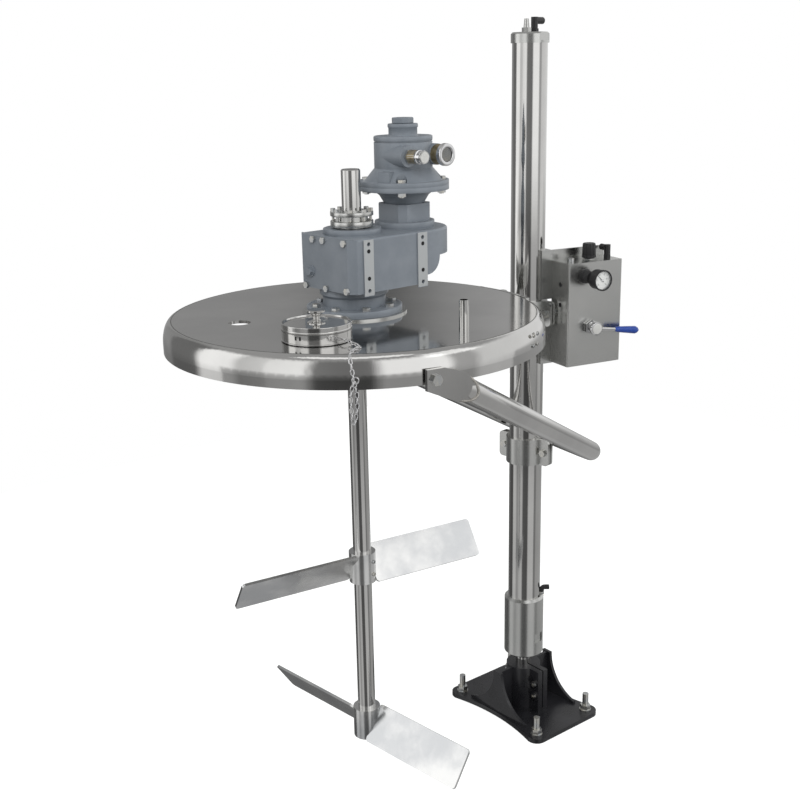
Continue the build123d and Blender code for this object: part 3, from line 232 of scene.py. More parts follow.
# %% Ceiling, ground and softbox
# high is the sine of the angle above the horizon, and way_round the share of a full turn.
ceiling_level, strip_level, ground_level = 0.42, 0.9, 0.48
low_wall_shade, softbox_level = 0.55, 0.75
ceiling = high.smooth(0.50, 0.72)
strip = high.band((0.80, 0.84), (0.92, 0.96)) * (1 - way_round.smooth(0.27, 0.31))
tone = ring * (1 - ceiling) + ceiling * (strip * strip_level + ceiling_level)
above_ground = high.smooth(-0.36, -0.08)
behind_camera = (way_round > 0.917) + (way_round < 0.305)
far_right = (way_round > 0.44) * (way_round < 0.61)
low_wall = high.band((-0.36, -0.26), (-0.16, -0.06)) * (behind_camera + far_right * 0.75)
tone = tone * (above_ground * (1 - ground_level) + ground_level) * (1 - low_wall * low_wall_shade)
softbox = high.band((0.42, 0.50), (0.74, 0.80)) * way_round.band((0.26, 0.29), (0.36, 0.40))
tone = tone + softbox * softbox_level

# %% White for the camera, panels for the metal, an even level for the rest
even_level = 0.62
seen = room.node("ShaderNodeLightPath", output="Is Camera Ray")
glossy = room.node("ShaderNodeLightPath", output="Is Glossy Ray")
level = seen + (1 - seen) * (tone * glossy + (1 - glossy) * even_level)
background = room.node("ShaderNodeBackground", {}, {"Color": (1, 1, 1), "Strength": level})
output = room.tree.nodes.new("ShaderNodeOutputWorld")
room.tree.links.new(background.socket, output.inputs["Surface"])
print(len(room.tree.nodes), "nodes in the world")

# %% [markdown]
# ## Lamps
# Three large area lamps give soft shadows. They could also be mirrored in the steel, where
# they would lie over the ring's panels, so they are hidden from mirror rays.

# %% Lamps
subject = Vector((-0.3, 0, 1.0))


def lamp(name, place, size, power):
    """A soft square lamp at a place, turned to face the machine."""
    light = bpy.data.lights.new(name, "AREA")
    light.size, light.energy = size, power
    holder = bpy.data.objects.new(name, light)
    holder.location = place
    holder.rotation_euler = (subject - Vector(place)).to_track_quat("-Z", "Y").to_euler()
    holder.visible_glossy = False
    scene.collection.objects.link(holder)
    print(name, power, "W")


lamp("key_lamp", (-2.6, -3.0, 3.6), 2.2, 95)
lamp("fill_lamp", (2.8, -2.4, 2.4), 2.5, 45)
lamp("back_lamp", (0.5, 3.4, 3.2), 2.5, 45)

# %% [markdown]
# ## The floor
# The floor is one pale face. Light on it alone would leave it grey, and more light would
# wash out the machine, so it glows a little for the camera only and keeps its shadow.

# %% Floor
reach, floor_glow = 2.6, 0.78
floor_mesh = bpy.data.meshes.new("floor")
floor_mesh.from_pydata([(-reach, -reach, 0), (reach, -reach, 0), (reach, reach, 0), (-reach, reach, 0)],
                       [], [(0, 1, 2, 3)])
floor = bpy.data.objects.new("floor", floor_mesh)
floor.visible_glossy = False
scene.collection.objects.link(floor)
pale = Shader("floor_paint")
glow = pale.node("ShaderNodeLightPath", output="Is Camera Ray") * floor_glow
floor_mesh.materials.append(pale.finish(
    Base_Color=(0.42, 0.43, 0.42), Roughness=0.8, Specular_IOR_Level=0.0,
    Emission_Color=(1, 1, 1), Emission_Strength=glow))
print("floor", 2 * reach, "m wide")

# %% [markdown]
# ## Bright metals
# Real steel is never one colour: handling and polishing leave clouds and grain. An image
# texture could carry them, but noise has no seams. Each metal is one function of place: a
# tint that wanders, a roughness with smears and grain, and a shallow bump.

# %% Metals
finishes = {}


def metal(name, dark, light, rough, spread, cloud_scale, grain_scale, grain_strength, stretch=(1, 1, 1)):
    """A metal whose colour wanders between two tints and whose grain is a stretched noise."""
    s = Shader(name)
    cloud = s.noise(cloud_scale, 4)
    grain = s.noise(grain_scale, 3, stretch)
    s.bump(grain, grain_strength, 0.0004)
    finishes[name] = s.finish(Base_Color=s.blend(cloud.smooth(0.3, 0.72), dark, light), Metallic=1.0,
                              Roughness=rough + cloud * spread + grain * spread)


metal("polished_steel", (0.56, 0.555, 0.545), (0.64, 0.635, 0.62), 0.05, 0.05, 6, 220, 0.05, (1, 1, 0.02))
metal("satin_steel", (0.55, 0.555, 0.54), (0.60, 0.60, 0.585), 0.20, 0.05, 6, 900, 0.05, (0.06, 0.06, 1))
metal("bolt_steel", (0.55, 0.57, 0.59), (0.68, 0.66, 0.60), 0.2, 0.1, 60, 900, 0.1)
metal("chrome", (0.70, 0.70, 0.71), (0.80, 0.80, 0.80), 0.05, 0.03, 30, 900, 0.03)
metal("bronze", (0.32, 0.25, 0.14), (0.50, 0.42, 0.26), 0.32, 0.12, 120, 1100, 0.4)
metal("brass", (0.45, 0.34, 0.13), (0.60, 0.47, 0.22), 0.22, 0.1, 80, 700, 0.08)
# A dark metal of painted shade, for the fine pressed line on the lid and the groove on the cover.
metal("painted_line_shade", (0.16, 0.16, 0.155), (0.24, 0.235, 0.23), 0.3, 0.1, 30, 500, 0.1)
print(len(finishes), "metals")

# %% [markdown]
# ## Plate and weld
# The propeller blades are cut from rolled plate, whose streaks run along the sheet. A weld
# is a row of frozen ripples with a straw-and-grey heat tint. Both need a bump of their own.

# %% Blade and weld steel
s = Shader("blade_steel")
streak, cloud = s.noise(60, 4, (0.15, 0.15, 1)), s.noise(7, 4)
s.bump(streak, 0.06, 0.0005)
finishes["blade_steel"] = s.finish(
    Base_Color=s.blend(cloud.smooth(0.35, 0.62), (0.56, 0.57, 0.58), (0.80, 0.80, 0.79)),
    Metallic=1.0, Roughness=0.13 + cloud * 0.1 + streak * 0.06)

s = Shader("weld_steel")
ripple, heat = s.noise(420, 3), s.noise(40, 3)
s.bump(ripple, 0.5, 0.0015)
finishes["weld_steel"] = s.finish(
    Base_Color=s.blend(heat.smooth(0.35, 0.7), (0.42, 0.40, 0.37), (0.60, 0.58, 0.54)),
    Metallic=1.0, Roughness=0.3 + ripple * 0.2)
print("blade and weld finishes")

# %% [markdown]
# ## Paint
# The gearbox is cast iron under thick grey enamel, but the milled pads on its sides are
# lighter. The pads could be pieces of their own. A mask from the place is enough, since
# only their tone differs.


# %% Enamel and the milled pads
def side_pads(s):
    """1 on the milled faces of the gear housing's sides, which stand proud of the casting."""
    turn = math.radians(gear_turn)
    x, y, z = s.axes(s.spot())
    aside = (y - lid_centre[1]) * math.cos(turn) - (x - lid_centre[0]) * math.sin(turn)
    return (abs(aside) > 0.0925) * (z > 1.24) * (z < 1.37)


def enamel(name, dark, light, fleck, rough, peel, peel_scale=260, machined=None):
    """Paint over metal: clouds, flecks and orange peel; machined(shader) may mask bare faces."""
    s = Shader(name)
    cloud = s.noise(14, 4)
    speck = s.noise(900, 2).smooth(0.66, 0.74)
    colour = s.blend(cloud.smooth(0.3, 0.75), dark, light)
    colour = s.blend(speck * 0.25, colour, fleck)
    roughness = rough + cloud * 0.12
    if machined:
        bare = machined(s)
        colour = s.blend(bare, colour, (0.37, 0.385, 0.39))
        roughness = roughness + bare * 0.05
    s.bump(s.noise(peel_scale, 2) + s.noise(peel_scale * 2.7, 2) * 0.4, peel, 0.0006)
    finishes[name] = s.finish(Base_Color=colour, Roughness=roughness)


enamel("grey_paint", (0.170, 0.192, 0.218), (0.215, 0.238, 0.266), (0.5, 0.52, 0.55), 0.30, 0.16,
       machined=side_pads)
enamel("black_paint", (0.011, 0.011, 0.013), (0.024, 0.024, 0.027), (0.011, 0.011, 0.013), 0.22, 0.12,
       peel_scale=500)
print("grey and black enamel")

# %% [markdown]
# ## Plastic and rubber
# Knobs, hose fittings and the dipped grip are moulded, with a fine even grain from the
# mould. The same function, with other numbers, gives ink, seals, and the painted shade that fills holes.


# %% Moulded finishes
def moulded(name, dark, light, rough, grain_scale=1500, grain_strength=0.15):
    """Moulded plastic or rubber: an even fine grain."""
    s = Shader(name)
    grain = s.noise(grain_scale, 2)
    s.bump(grain, grain_strength, 0.0003)
    finishes[name] = s.finish(Base_Color=s.blend(grain.smooth(0.3, 0.8), dark, light),
                              Roughness=rough + grain * 0.1)


moulded("black_plastic", (0.011, 0.011, 0.012), (0.022, 0.022, 0.023), 0.36)
moulded("blue_plastic", (0.012, 0.045, 0.26), (0.02, 0.07, 0.36), 0.2, 300, 0.04)
moulded("rubber", (0.02, 0.02, 0.02), (0.035, 0.035, 0.035), 0.7, 800)
# Holes, slots and the silencer's cup get this dark finish: painted shade where no light reaches.
moulded("painted_hole_shade", (0.006, 0.006, 0.007), (0.012, 0.012, 0.012), 0.7)
moulded("white_dial", (0.78, 0.78, 0.76), (0.84, 0.84, 0.82), 0.45, 600, 0.02)
moulded("dial_ink", (0.01, 0.01, 0.012), (0.02, 0.02, 0.02), 0.5)
moulded("pale_cap", (0.50, 0.50, 0.48), (0.60, 0.60, 0.58), 0.35, 500, 0.05)
finishes["needle_black"] = finishes["black_plastic"]
print(len(finishes), "finishes in all")

# %% [markdown]
# ## Dress the solids
# Each solid names the finish it was made for in its row of the record. The blades and two
# painted plugs look unlike the rest of their group, so they are named one by one.

# %% Give each solid its finish
slot_of = {row["node"]: row["material_slot"] for row in frame["record"]["subparts"]}
painted_plugs = ("motor_plug", "level_plug")
for name, solid in frame["nodes"].items():
    look = "blade_steel" if name.endswith("propeller") else slot_of[name]
    look = "grey_paint" if name in painted_plugs else look
    solid.data.materials.clear()
    solid.data.materials.append(finishes[look])
print(len(slot_of), "solids dressed")

# %% [markdown]
# ## Seats for new pieces
# Every added piece is drawn in a handy frame of its own: its right, its up, and out of the
# face it sits on. A seat turns such points into the object's frame, so that the piece's own
# object can stay at the origin.


# %% Seats
class Seat:
    """A place with three square directions: right, up, and out = right x up."""

    def __init__(self, origin, right, up):
        right, up = np.array(right, float), np.array(up, float)
        right, up = right / np.linalg.norm(right), up / np.linalg.norm(up)
        self.origin = np.array(origin, float)
        self.axes = np.array([right, up, np.cross(right, up)])

    def at(self, points):
        """origin + x right + y up + z out, for all the points at once."""
        return np.asarray(points, float) @ self.axes + self.origin

    def moved(self, right=0.0, up=0.0, out=0.0, roll=0.0):
        """The seat moved along its own directions, and rolled about its out direction."""
        c, s = math.cos(math.radians(roll)), math.sin(math.radians(roll))
        return Seat(self.at((right, up, out)), self.axes[0] * c + self.axes[1] * s,
                    self.axes[1] * c - self.axes[0] * s)


def level_seat(x, y, z, turn=0.0):
    """A seat that looks straight up, its right turned by an angle from +X."""
    a = math.radians(turn)
    return Seat((x, y, z), (math.cos(a), math.sin(a), 0), (-math.sin(a), math.cos(a), 0))


def wall_seat(x, y, z, facing):
    """A seat on an upright wall whose face looks towards an angle from +X."""
    a = math.radians(facing)
    return Seat((x, y, z), (-math.sin(a), math.cos(a), 0), (0, 0, 1))


# %% Places in the turned groups
def turned_place(turn, along, across, base=(0.0, 0.0)):
    """A point given along and across a frame that is turned about the vertical."""
    a = math.radians(turn)
    return (base[0] + along * math.cos(a) - across * math.sin(a),
            base[1] + along * math.sin(a) + across * math.cos(a))


def round_lid(radius, angle):
    """A point on the lid at a radius and a world angle from the agitator's axis."""
    a = math.radians(angle)
    return lid_centre[0] + radius * math.cos(a), lid_centre[1] + radius * math.sin(a)


box_front = -0.120
panel = wall_seat(*turned_place(panel_turn, 0, box_front), 0, panel_turn - 90)
print("control panel at", panel.origin.round(4), "looks along", panel.axes[2].round(3))

# %% [markdown]
# ## Surfaces from arrays
# Three functions make nearly every added shape. A lathe carries a profile round an axis, a
# tube carries a circle along a path, and a prism raises an outline. Blender has tools for
# each, but as formulas on whole arrays they stay exact and need no selecting of points.


# %% The lathe
def quads(rows, columns, wrap_rows=False, wrap_columns=False):
    """The faces of a grid: each joins a point to its neighbours in the next row and column."""
    r = np.arange(rows if wrap_rows else rows - 1)[:, None]
    c = np.arange(columns if wrap_columns else columns - 1)[None, :]
    r2, c2 = (r + 1) % rows, (c + 1) % columns
    faces = np.stack([r * columns + c, r * columns + c2, r2 * columns + c2, r2 * columns + c], -1)
    return faces.reshape(-1, 4).tolist()


def lathe(seat, profile, steps, closed=False, flutes=0, depth=0.0):
    """x = r cos t, y = r sin t, z = h for each (r, h) of the profile, with r lessened by a rounded
    flute, depth |cos(flutes t / 2)| to the sixth power, where flutes are asked for."""
    r, h = np.array(profile, float).T
    t = np.linspace(0, 2 * np.pi, steps, endpoint=False)[:, None]
    radius = r[None, :] - depth * np.abs(np.cos(flutes * t / 2)) ** 6 * (r[None, :] > depth * 2)
    points = np.stack([radius * np.cos(t), radius * np.sin(t), np.broadcast_to(h, radius.shape)], -1)
    return seat.at(points.reshape(-1, 3)), quads(steps, len(r), True, closed)


def disc(seat, radius, low, top, steps):
    """A lathe whose profile is a rectangle from the axis: a round plate."""
    return lathe(seat, [(0, low), (radius, low), (radius, top), (0, top)], steps)


# %% The tube
def tube(path, radius, sides, closed=False, reference=(0, 0, 1)):
    """p(s) + r(s) (cos t u + sin t v), where u and v are square to the path's direction."""
    path = np.asarray(path, float)
    along = np.roll(path, -1, 0) - np.roll(path, 1, 0) if closed else np.gradient(path, axis=0)
    along /= np.linalg.norm(along, axis=1)[:, None]
    u = np.cross(along, np.asarray(reference, float))
    u /= np.linalg.norm(u, axis=1)[:, None]
    v = np.cross(along, u)
    radius = np.broadcast_to(np.asarray(radius, float), len(path))
    if not closed:
        path, u, v = [np.concatenate([a[:1], a, a[-1:]]) for a in (path, u, v)]
        radius = np.concatenate([[0], radius, [0]])
    t = np.linspace(0, 2 * np.pi, sides, endpoint=False)
    points = path[:, None] + radius[:, None, None] * (
        np.cos(t)[None, :, None] * u[:, None] + np.sin(t)[None, :, None] * v[:, None])
    return points.reshape(-1, 3), quads(len(path), sides, closed, True)


# %% The prism
def prism(seat, outline, low, top, shrink=0.0):
    """The outline (x, y) carried from low to top, drawn in towards its middle at both ends."""
    outline = np.array(outline, float)
    middle = outline.mean(0)
    drawn_in, edge = middle + (outline - middle) * (1 - shrink), (top - low) * 0.12
    rings = [(drawn_in, low), (outline, low + edge), (outline, top - edge), (drawn_in, top)]
    points = np.concatenate([np.column_stack([xy, np.full(len(xy), h)]) for xy, h in rings])
    n = len(outline)
    faces = quads(4, n, False, True) + [list(range(n))[::-1], list(range(3 * n, 4 * n))]
    return seat.at(points), faces


def ring_of(sides, radius, start=0.0):
    """The corners of a regular outline: radius times (cos t, sin t) at even angles."""
    t = np.radians(start) + np.arange(sides) * 2 * np.pi / sides
    return np.column_stack([np.cos(t), np.sin(t)]) * radius


def rectangle(width, height, x=0.0):
    """The corners of a rectangle whose middle is at (x, 0)."""
    return [(x - width / 2, -height / 2), (x + width / 2, -height / 2),
            (x + width / 2, height / 2), (x - width / 2, height / 2)]


# %% [markdown]
# ## From arrays to a piece
# One function joins the surfaces of a piece, merges the points that meet at poles, turns all
# faces outwards, hangs the piece on the body that carries it, and gives it the finish named, or else the slot's
# finish.

# %% Making a piece
made = []


def piece(name, body, slot, *surfaces, finish=None, sharp=32, replaces=()):
    """Join surfaces into one object at the origin, smooth but for edges sharper than an angle."""
    points, faces, count = [], [], 0
    for surface_points, surface_faces in surfaces:
        points.append(surface_points)
        faces += [[i + count for i in face] for face in surface_faces]
        count += len(surface_points)
    mesh = bpy.data.meshes.new(name)
    mesh.from_pydata(np.concatenate(points).tolist(), [], faces)
    work = bmesh.new()
    work.from_mesh(mesh)
    bmesh.ops.remove_doubles(work, verts=work.verts, dist=1e-6)
    bmesh.ops.dissolve_degenerate(work, edges=work.edges, dist=1e-7)
    bmesh.ops.recalc_face_normals(work, faces=work.faces)
    work.to_mesh(mesh)
    work.free()
    mesh.shade_smooth()
    mesh.set_sharp_from_angle(angle=math.radians(sharp))
    mesh.materials.append(finishes[finish or slot])
    thing = bpy.data.objects.new(name, mesh)
    scene.collection.objects.link(thing)
    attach(thing, body)
    if replaces:
        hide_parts(*replaces)
    made.append(name)
    print("made", name, "with", len(mesh.polygons), "faces")


# %% [markdown]
# ## The pressure gauge
# The gauge is a black case with a white dial under glass. The solid case and needle stay;
# the dial, its scale, the numbers and the glass are thin pieces laid in the recess. The
# marks could be an image, but raised ink stays sharp from near by.

# %% Dial and scale
gauge = panel.moved(0.098, 1.188, 0.030)
dial_face, dial_radius, ink_base, ink_top = 0.0210, 0.0218, 0.00005, 0.0002
piece("gauge_dial", "column", "needle_black",
      disc(gauge, dial_radius, dial_face, dial_face + 0.0001, 48), finish="white_dial")
first_mark, mark_sweep, mark_count, mark_reach = 225.0, -270.0, 51, 0.0203
marks = []
for i in range(mark_count):
    length, width = (0.0034, 0.0007) if i % 5 == 0 else (0.0019, 0.0004)
    spoke = gauge.moved(roll=first_mark + mark_sweep * i / (mark_count - 1))
    marks.append(prism(spoke, rectangle(length, width, mark_reach - length / 2),
                       dial_face + ink_base, dial_face + ink_top))
piece("gauge_scale", "column", "needle_black", *marks, finish="dial_ink")

# %% [markdown]
# The numbers are the plain run 0 to 10 of any dial. A text object draws each one, and its
# mesh is then set down on the dial, so that no text is left behind.

# %% Dial numbers
digit_size, digit_reach, digit_lift = 0.0062, 0.0143, 0.00014
digit_meshes = []
for number in range(0, 11, 2):
    angle = math.radians(first_mark + mark_sweep * number / 10)
    text = bpy.data.curves.new(f"digit_{number}", "FONT")
    text.body, text.size, text.extrude = str(number), digit_size, 0.00006
    text.align_x, text.align_y = "CENTER", "CENTER"
    holder = bpy.data.objects.new(f"digit_{number}", text)
    scene.collection.objects.link(holder)
    bpy.context.view_layer.update()
    drawn = holder.evaluated_get(bpy.context.evaluated_depsgraph_get())
    flat = bpy.data.meshes.new_from_object(drawn)
    coordinates = np.empty(len(flat.vertices) * 3)
    flat.vertices.foreach_get("co", coordinates)
    spot = (digit_reach * math.cos(angle), digit_reach * math.sin(angle), dial_face + digit_lift)
    digit_meshes.append((gauge.at(coordinates.reshape(-1, 3) + spot),
                         [list(f.vertices) for f in flat.polygons]))
    bpy.data.objects.remove(holder)
    bpy.data.meshes.remove(flat)
piece("gauge_numbers", "column", "needle_black", *digit_meshes, finish="dial_ink")

# %% [markdown]
# The case screws to the panel through a ribbed collar, and a turned bezel holds the glass.
# The glass is a faint, clear cover: its alpha is low, so the dial stays easy to read.

# %% Collar, bezel and glass
gauge_root = panel.moved(0.084, 1.192, 0)
piece("gauge_collar", "column", "black_plastic",
      lathe(gauge_root, [(0, 0.0003), (0.0172, 0.0003), (0.0172, 0.0070), (0.0150, 0.0084), (0.0150, 0.0200),
                         (0.0138, 0.0218), (0.0138, 0.0296), (0, 0.0296)], 96, flutes=24, depth=0.0007), sharp=50)
s = Shader("gauge_glass")
cloud = s.noise(60, 2)
finishes["gauge_glass"] = s.finish(Base_Color=(0.9, 0.93, 0.93), Roughness=0.02 + cloud * 0.02,
                                   Alpha=0.10 + cloud * 0.03)
piece("gauge_glass", "column", "needle_black",
      lathe(gauge, [(0, 0.0252), (0.0220, 0.0252), (0.0220, 0.0262), (0.012, 0.0266), (0, 0.0267)], 48),
      finish="gauge_glass")
piece("gauge_bezel", "column", "black_plastic",
      lathe(gauge, [(0.0221, 0.0215), (0.0248, 0.0215), (0.0250, 0.026), (0.0246, 0.0279), (0.0236, 0.0282),
                    (0.0226, 0.0274), (0.0221, 0.0262)], 64, closed=True))
piece("needle_hub", "gauge_needle", "needle_black",
      lathe(gauge, [(0, 0.0222), (0.0030, 0.0222), (0.0030, 0.0230), (0.0022, 0.0236), (0, 0.0238)], 24),
      finish="chrome")

# %% [markdown]
# ## The regulator's knob
# The knob is moulded with flutes for the fingers. Cutting twelve grooves would need twelve
# cutters; a lathe whose radius dips twelve times a turn gives them in one formula.

# %% Regulator knob
roof_knob = level_seat(*turned_place(panel_turn, 0.121, -0.085), 1.224, panel_turn)
piece("fluted_knob", "regulator_knob", "black_plastic",
      lathe(roof_knob, [(0, 0.0063), (0.0172, 0.0063), (0.0172, 0.0110), (0.0160, 0.0118), (0.0165, 0.0130),
                        (0.0158, 0.0370), (0.0148, 0.0398), (0.0128, 0.0403), (0.0118, 0.0396), (0, 0.0396)],
            144, flutes=12, depth=0.0016), replaces=["regulator_knob"], sharp=50)
piece("regulator_nut", "column", "satin_steel", prism(roof_knob, ring_of(6, 0.0165), 0.0002, 0.0040, 0.03))

# %% [markdown]
# ## The control valve
# The valve has a bright hexagon body, a hub with a chrome rod, and a blue grip dipped in
# soft plastic, which thickens towards its end. The grip is a tube whose radius changes
# along the rod.

# %% Valve body and hub
valve = panel.moved(0.105, 1.065, 0)
lever = valve.moved(out=0.0243, roll=-8)
rod = lever.at([(x, 0, 0) for x in (0.012, 0.03, 0.05, 0.060)])
piece("valve_nut", "column", "satin_steel", prism(valve, ring_of(6, 0.0190, 30), 0.0004, 0.0095, 0.05),
      lathe(valve, [(0, 0.0085), (0.0128, 0.0085), (0.0128, 0.0125), (0.0105, 0.0135), (0.0105, 0.0180),
                    (0, 0.0180)], 40), finish="chrome")
piece("valve_hub", "valve_lever", "black_plastic",
      lathe(valve, [(0, 0.0184), (0.0162, 0.0184), (0.0170, 0.0196), (0.0170, 0.0270), (0.0160, 0.0288),
                    (0.0132, 0.0291), (0, 0.0291)], 48),
      tube(rod, (0.0052, 0.0043, 0.0042, 0.0042), 20, reference=lever.axes[2]),
      finish="chrome", replaces=["valve_cap"])
piece("valve_button", "valve_lever", "black_plastic",
      lathe(valve, [(0, 0.0290), (0.0128, 0.0290), (0.0128, 0.0298), (0.0116, 0.0303), (0, 0.0304)], 40),
      finish="pale_cap")

# %% Dipped grip
grip_start, grip_end, grip_length = 0.056, 0.1272, 0.0712
grip_spots = np.linspace(grip_start, grip_end, 20)
grip_radius = 0.0066 + 0.0032 * ((grip_spots - grip_start) / grip_length) ** 0.8
grip_radius[:3] = (0.0046, 0.0060, 0.0066)
grip_radius[-4:] = (0.0095, 0.0086, 0.0068, 0.0034)
grip_line = lever.at(np.column_stack([grip_spots, 0 * grip_spots, 0 * grip_spots]))
piece("blue_grip", "valve_lever", "blue_plastic", tube(grip_line, grip_radius, 28, reference=lever.axes[2]),
      replaces=["lever_grip"], sharp=60)

# %% [markdown]
# ## The filling port's cover
# The cover is a shallow spun cap with a bead round its side, a rolled top edge, two slots
# for its latch and a mushroom knob. Each bead is a small ring of its own, laid on the cap,
# because its highlight is what tells the eye that the sheet is rounded.

# %% Cover trim
port_reach, port_angle = 0.263, math.radians(-149.9)
cover = level_seat(*turned_place(arm_turn, port_reach * math.cos(port_angle),
                                 port_reach * math.sin(port_angle), lid_centre), 0, arm_turn)
beads = ([(0.0668, 1.2125), (0.0676, 1.2134), (0.0678, 1.2145), (0.0676, 1.2156), (0.0668, 1.2165)],
         [(0.0640, 1.2236), (0.0664, 1.2234), (0.0673, 1.2240), (0.0670, 1.2248), (0.0655, 1.2250),
          (0.0642, 1.2246)],
         [(0.0668, 1.1914), (0.0678, 1.1920), (0.0678, 1.1932), (0.0668, 1.1938)])
piece("cover_bead", "port_cover", "polished_steel", *[lathe(cover, bead, 96, closed=True) for bead in beads])
# The groove below the side bead is a thin dark ring, painted shade for the groove.
piece("cover_groove_shade", "port_cover", "polished_steel",
      lathe(cover, [(0.0668, 1.2106), (0.06712, 1.2108), (0.06712, 1.2122), (0.0668, 1.2124)], 96, closed=True),
      finish="painted_line_shade")
# The latch slots are thin dark blocks of painted shade on the cover's side.
slots = []
for facing in (-168, -160):
    a = math.radians(facing)
    side = wall_seat(*cover.at((0.0672 * math.cos(a), 0.0672 * math.sin(a), 1.2045)), facing + arm_turn)
    slots.append(prism(side, rectangle(0.0036, 0.0070), -0.0008, 0.0004, 0.05))
piece("cover_slots", "port_cover", "polished_steel", *slots, finish="painted_hole_shade")

# %% Mushroom knob
piece("knob_collar", "port_cover", "polished_steel",
      lathe(cover, [(0, 1.2217), (0.0175, 1.2217), (0.0175, 1.2232), (0.0150, 1.2240), (0.0100, 1.2262),
                    (0.0080, 1.2290), (0, 1.2290)], 48))
piece("knob_crown", "port_cover", "polished_steel",
      lathe(level_seat(*cover.origin[:2], 0),
            [(0, 1.2400), (0.0080, 1.2400), (0.0120, 1.2408), (0.0169, 1.2428), (0.0171, 1.2440),
             (0.0168, 1.2452), (0.0150, 1.2462), (0, 1.2462)], 56))

# %% [markdown]
# ## The chain
# A chain keeps the cover from being lost. It runs over the rim and hangs in a small loop.
# A simulation could drape it, but the chain is short and always hangs the same way, so its
# links are set along a few straight runs, each turned a quarter from the last.

# %% Links
wire, link_length, link_width = 0.00115, 0.0130, 0.0084


def link(middle, along, flat):
    """A racetrack of wire: two half circles joined by straights, laid in a plane."""
    along, flat = np.array(along) / np.linalg.norm(along), np.array(flat, float)
    flat = flat - along * flat.dot(along)
    flat /= np.linalg.norm(flat)
    t = np.linspace(0, 2 * np.pi, 14, endpoint=False)
    x = np.cos(t) * (link_width / 2 - wire) + np.sign(np.cos(t)) * (link_length - link_width) / 2
    y = np.sin(t) * (link_width / 2 - wire)
    path = np.array(middle) + x[:, None] * along + y[:, None] * flat
    return tube(path, wire, 5, True, np.cross(along, flat))


def run_of_links(corners):
    """Links a pitch apart along a line of straight runs, each turned a quarter from the last."""
    corners = np.array(corners, float)
    lengths = np.linalg.norm(np.diff(corners, axis=0), axis=1)
    reached = np.concatenate([[0], np.cumsum(lengths)])

    def on_line(s):
        return np.column_stack([np.interp(s, reached, corners[:, i]) for i in range(3)])

    pitch = link_length - 2.6 * wire
    count = int(reached[-1] / pitch)
    spots = (np.arange(count) + 0.5) * reached[-1] / count
    ways = on_line(spots + pitch / 2) - on_line(spots - pitch / 2)
    links = []
    for i, (spot, way) in enumerate(zip(on_line(spots), ways)):
        aside = np.cross(way, (0.3, 0.9, 0.2))
        links.append(link(spot, way, aside if i % 2 else np.cross(way, aside)))
    return links


# %% Chain
rim_radius, shackle_angle, shackle_height = 0.400, math.radians(-78), 1.1985
shackle = (cover.origin[0] + 0.0700 * math.cos(shackle_angle),
           cover.origin[1] + 0.0700 * math.sin(shackle_angle), shackle_height)


def over_rim(angle, out, height):
    """A point at a world angle, a distance outside the lid's rim, and a height."""
    return *round_lid(rim_radius + out, angle), height


hang = [shackle, (*round_lid(0.334, -125.0), 1.1925), (*round_lid(0.372, -127.4), 1.1930),
        over_rim(-127.9, -0.012, 1.1895), over_rim(-127.7, 0.0008, 1.1800),
        over_rim(-127.3, 0.0022, 1.1600), over_rim(-127.0, 0.0022, 1.1460)]
loose_loop = [over_rim(*corner) for corner in (
    (-127.0, 0.0022, 1.1450), (-127.9, 0.0024, 1.1200), (-127.9, 0.0030, 1.0950), (-127.6, 0.0034, 1.0720),
    (-127.2, 0.0036, 1.0640), (-126.9, 0.0034, 1.0720), (-126.3, 0.0030, 1.0950), (-126.3, 0.0024, 1.1200),
    (-127.0, 0.0022, 1.1440))]
chain_links = run_of_links(hang) + run_of_links(loose_loop)
piece("cover_chain", "column", "polished_steel", *chain_links, finish="chrome", sharp=180)
print(len(chain_links), "chain links")

# %% Ring and shackle pin
t = np.linspace(0, 2 * np.pi, 28, endpoint=False)
rim_ring = wall_seat(*over_rim(-126.6, 0.0030, 1.1460), -126.6)
pin_end = (shackle[0] * 0.5 + cover.origin[0] * 0.5 + 0.007, shackle[1] - 0.002 + 0.006, shackle_height)
piece("chain_ring", "column", "polished_steel",
      tube(rim_ring.at(np.column_stack([0.006 * np.cos(t), 0.006 * np.sin(t), 0 * t])), 0.0011, 8, True,
           rim_ring.axes[2]),
      tube([shackle, pin_end], 0.0014, 10), finish="chrome", sharp=60)

# %% [markdown]
# ## Lid trim
# The lid's flat disc meets its broad rounded rim in a fine pressed line, and four cap
# screws hold the column's bracket to the skirt. The line is too fine to cut, so a dark ring
# a third of a millimetre high stands for its shadow.

# %% Lid line
line_profile = [(0.3806, 1.1899), (0.3822, 1.1899), (0.3822, 1.1902), (0.3806, 1.1902)]
piece("painted_line_shade", "column", "polished_steel",
      lathe(level_seat(*lid_centre, 0), line_profile, 256, closed=True), finish="painted_line_shade")


# %% Skirt screws
def socket_head(seat, diameter, height):
    """A cap screw: a smooth round head with a round socket sunk in its top."""
    r = diameter / 2
    return lathe(seat, [(0, 0), (r, 0), (r, height * 0.86), (r * 0.9, height), (r * 0.52, height),
                        (r * 0.5, height * 0.35), (0, height * 0.35)], 24)


piece("skirt_screws", "column", "bolt_steel",
      *[socket_head(wall_seat(*round_lid(0.3996, facing), height, facing), 0.0085, 0.0035)
        for facing in (-62.6, -65.8) for height in (1.1505, 1.1715)])

# %% [markdown]
# ## The motor's silencer
# The exhaust air leaves through a bronze cup whose mouth is closed by wire mesh under a
# bright ring. The mesh could be a pattern on a disc, but it is seen from near by, so each
# wire is a thin tube that weaves over and under the ones it crosses.

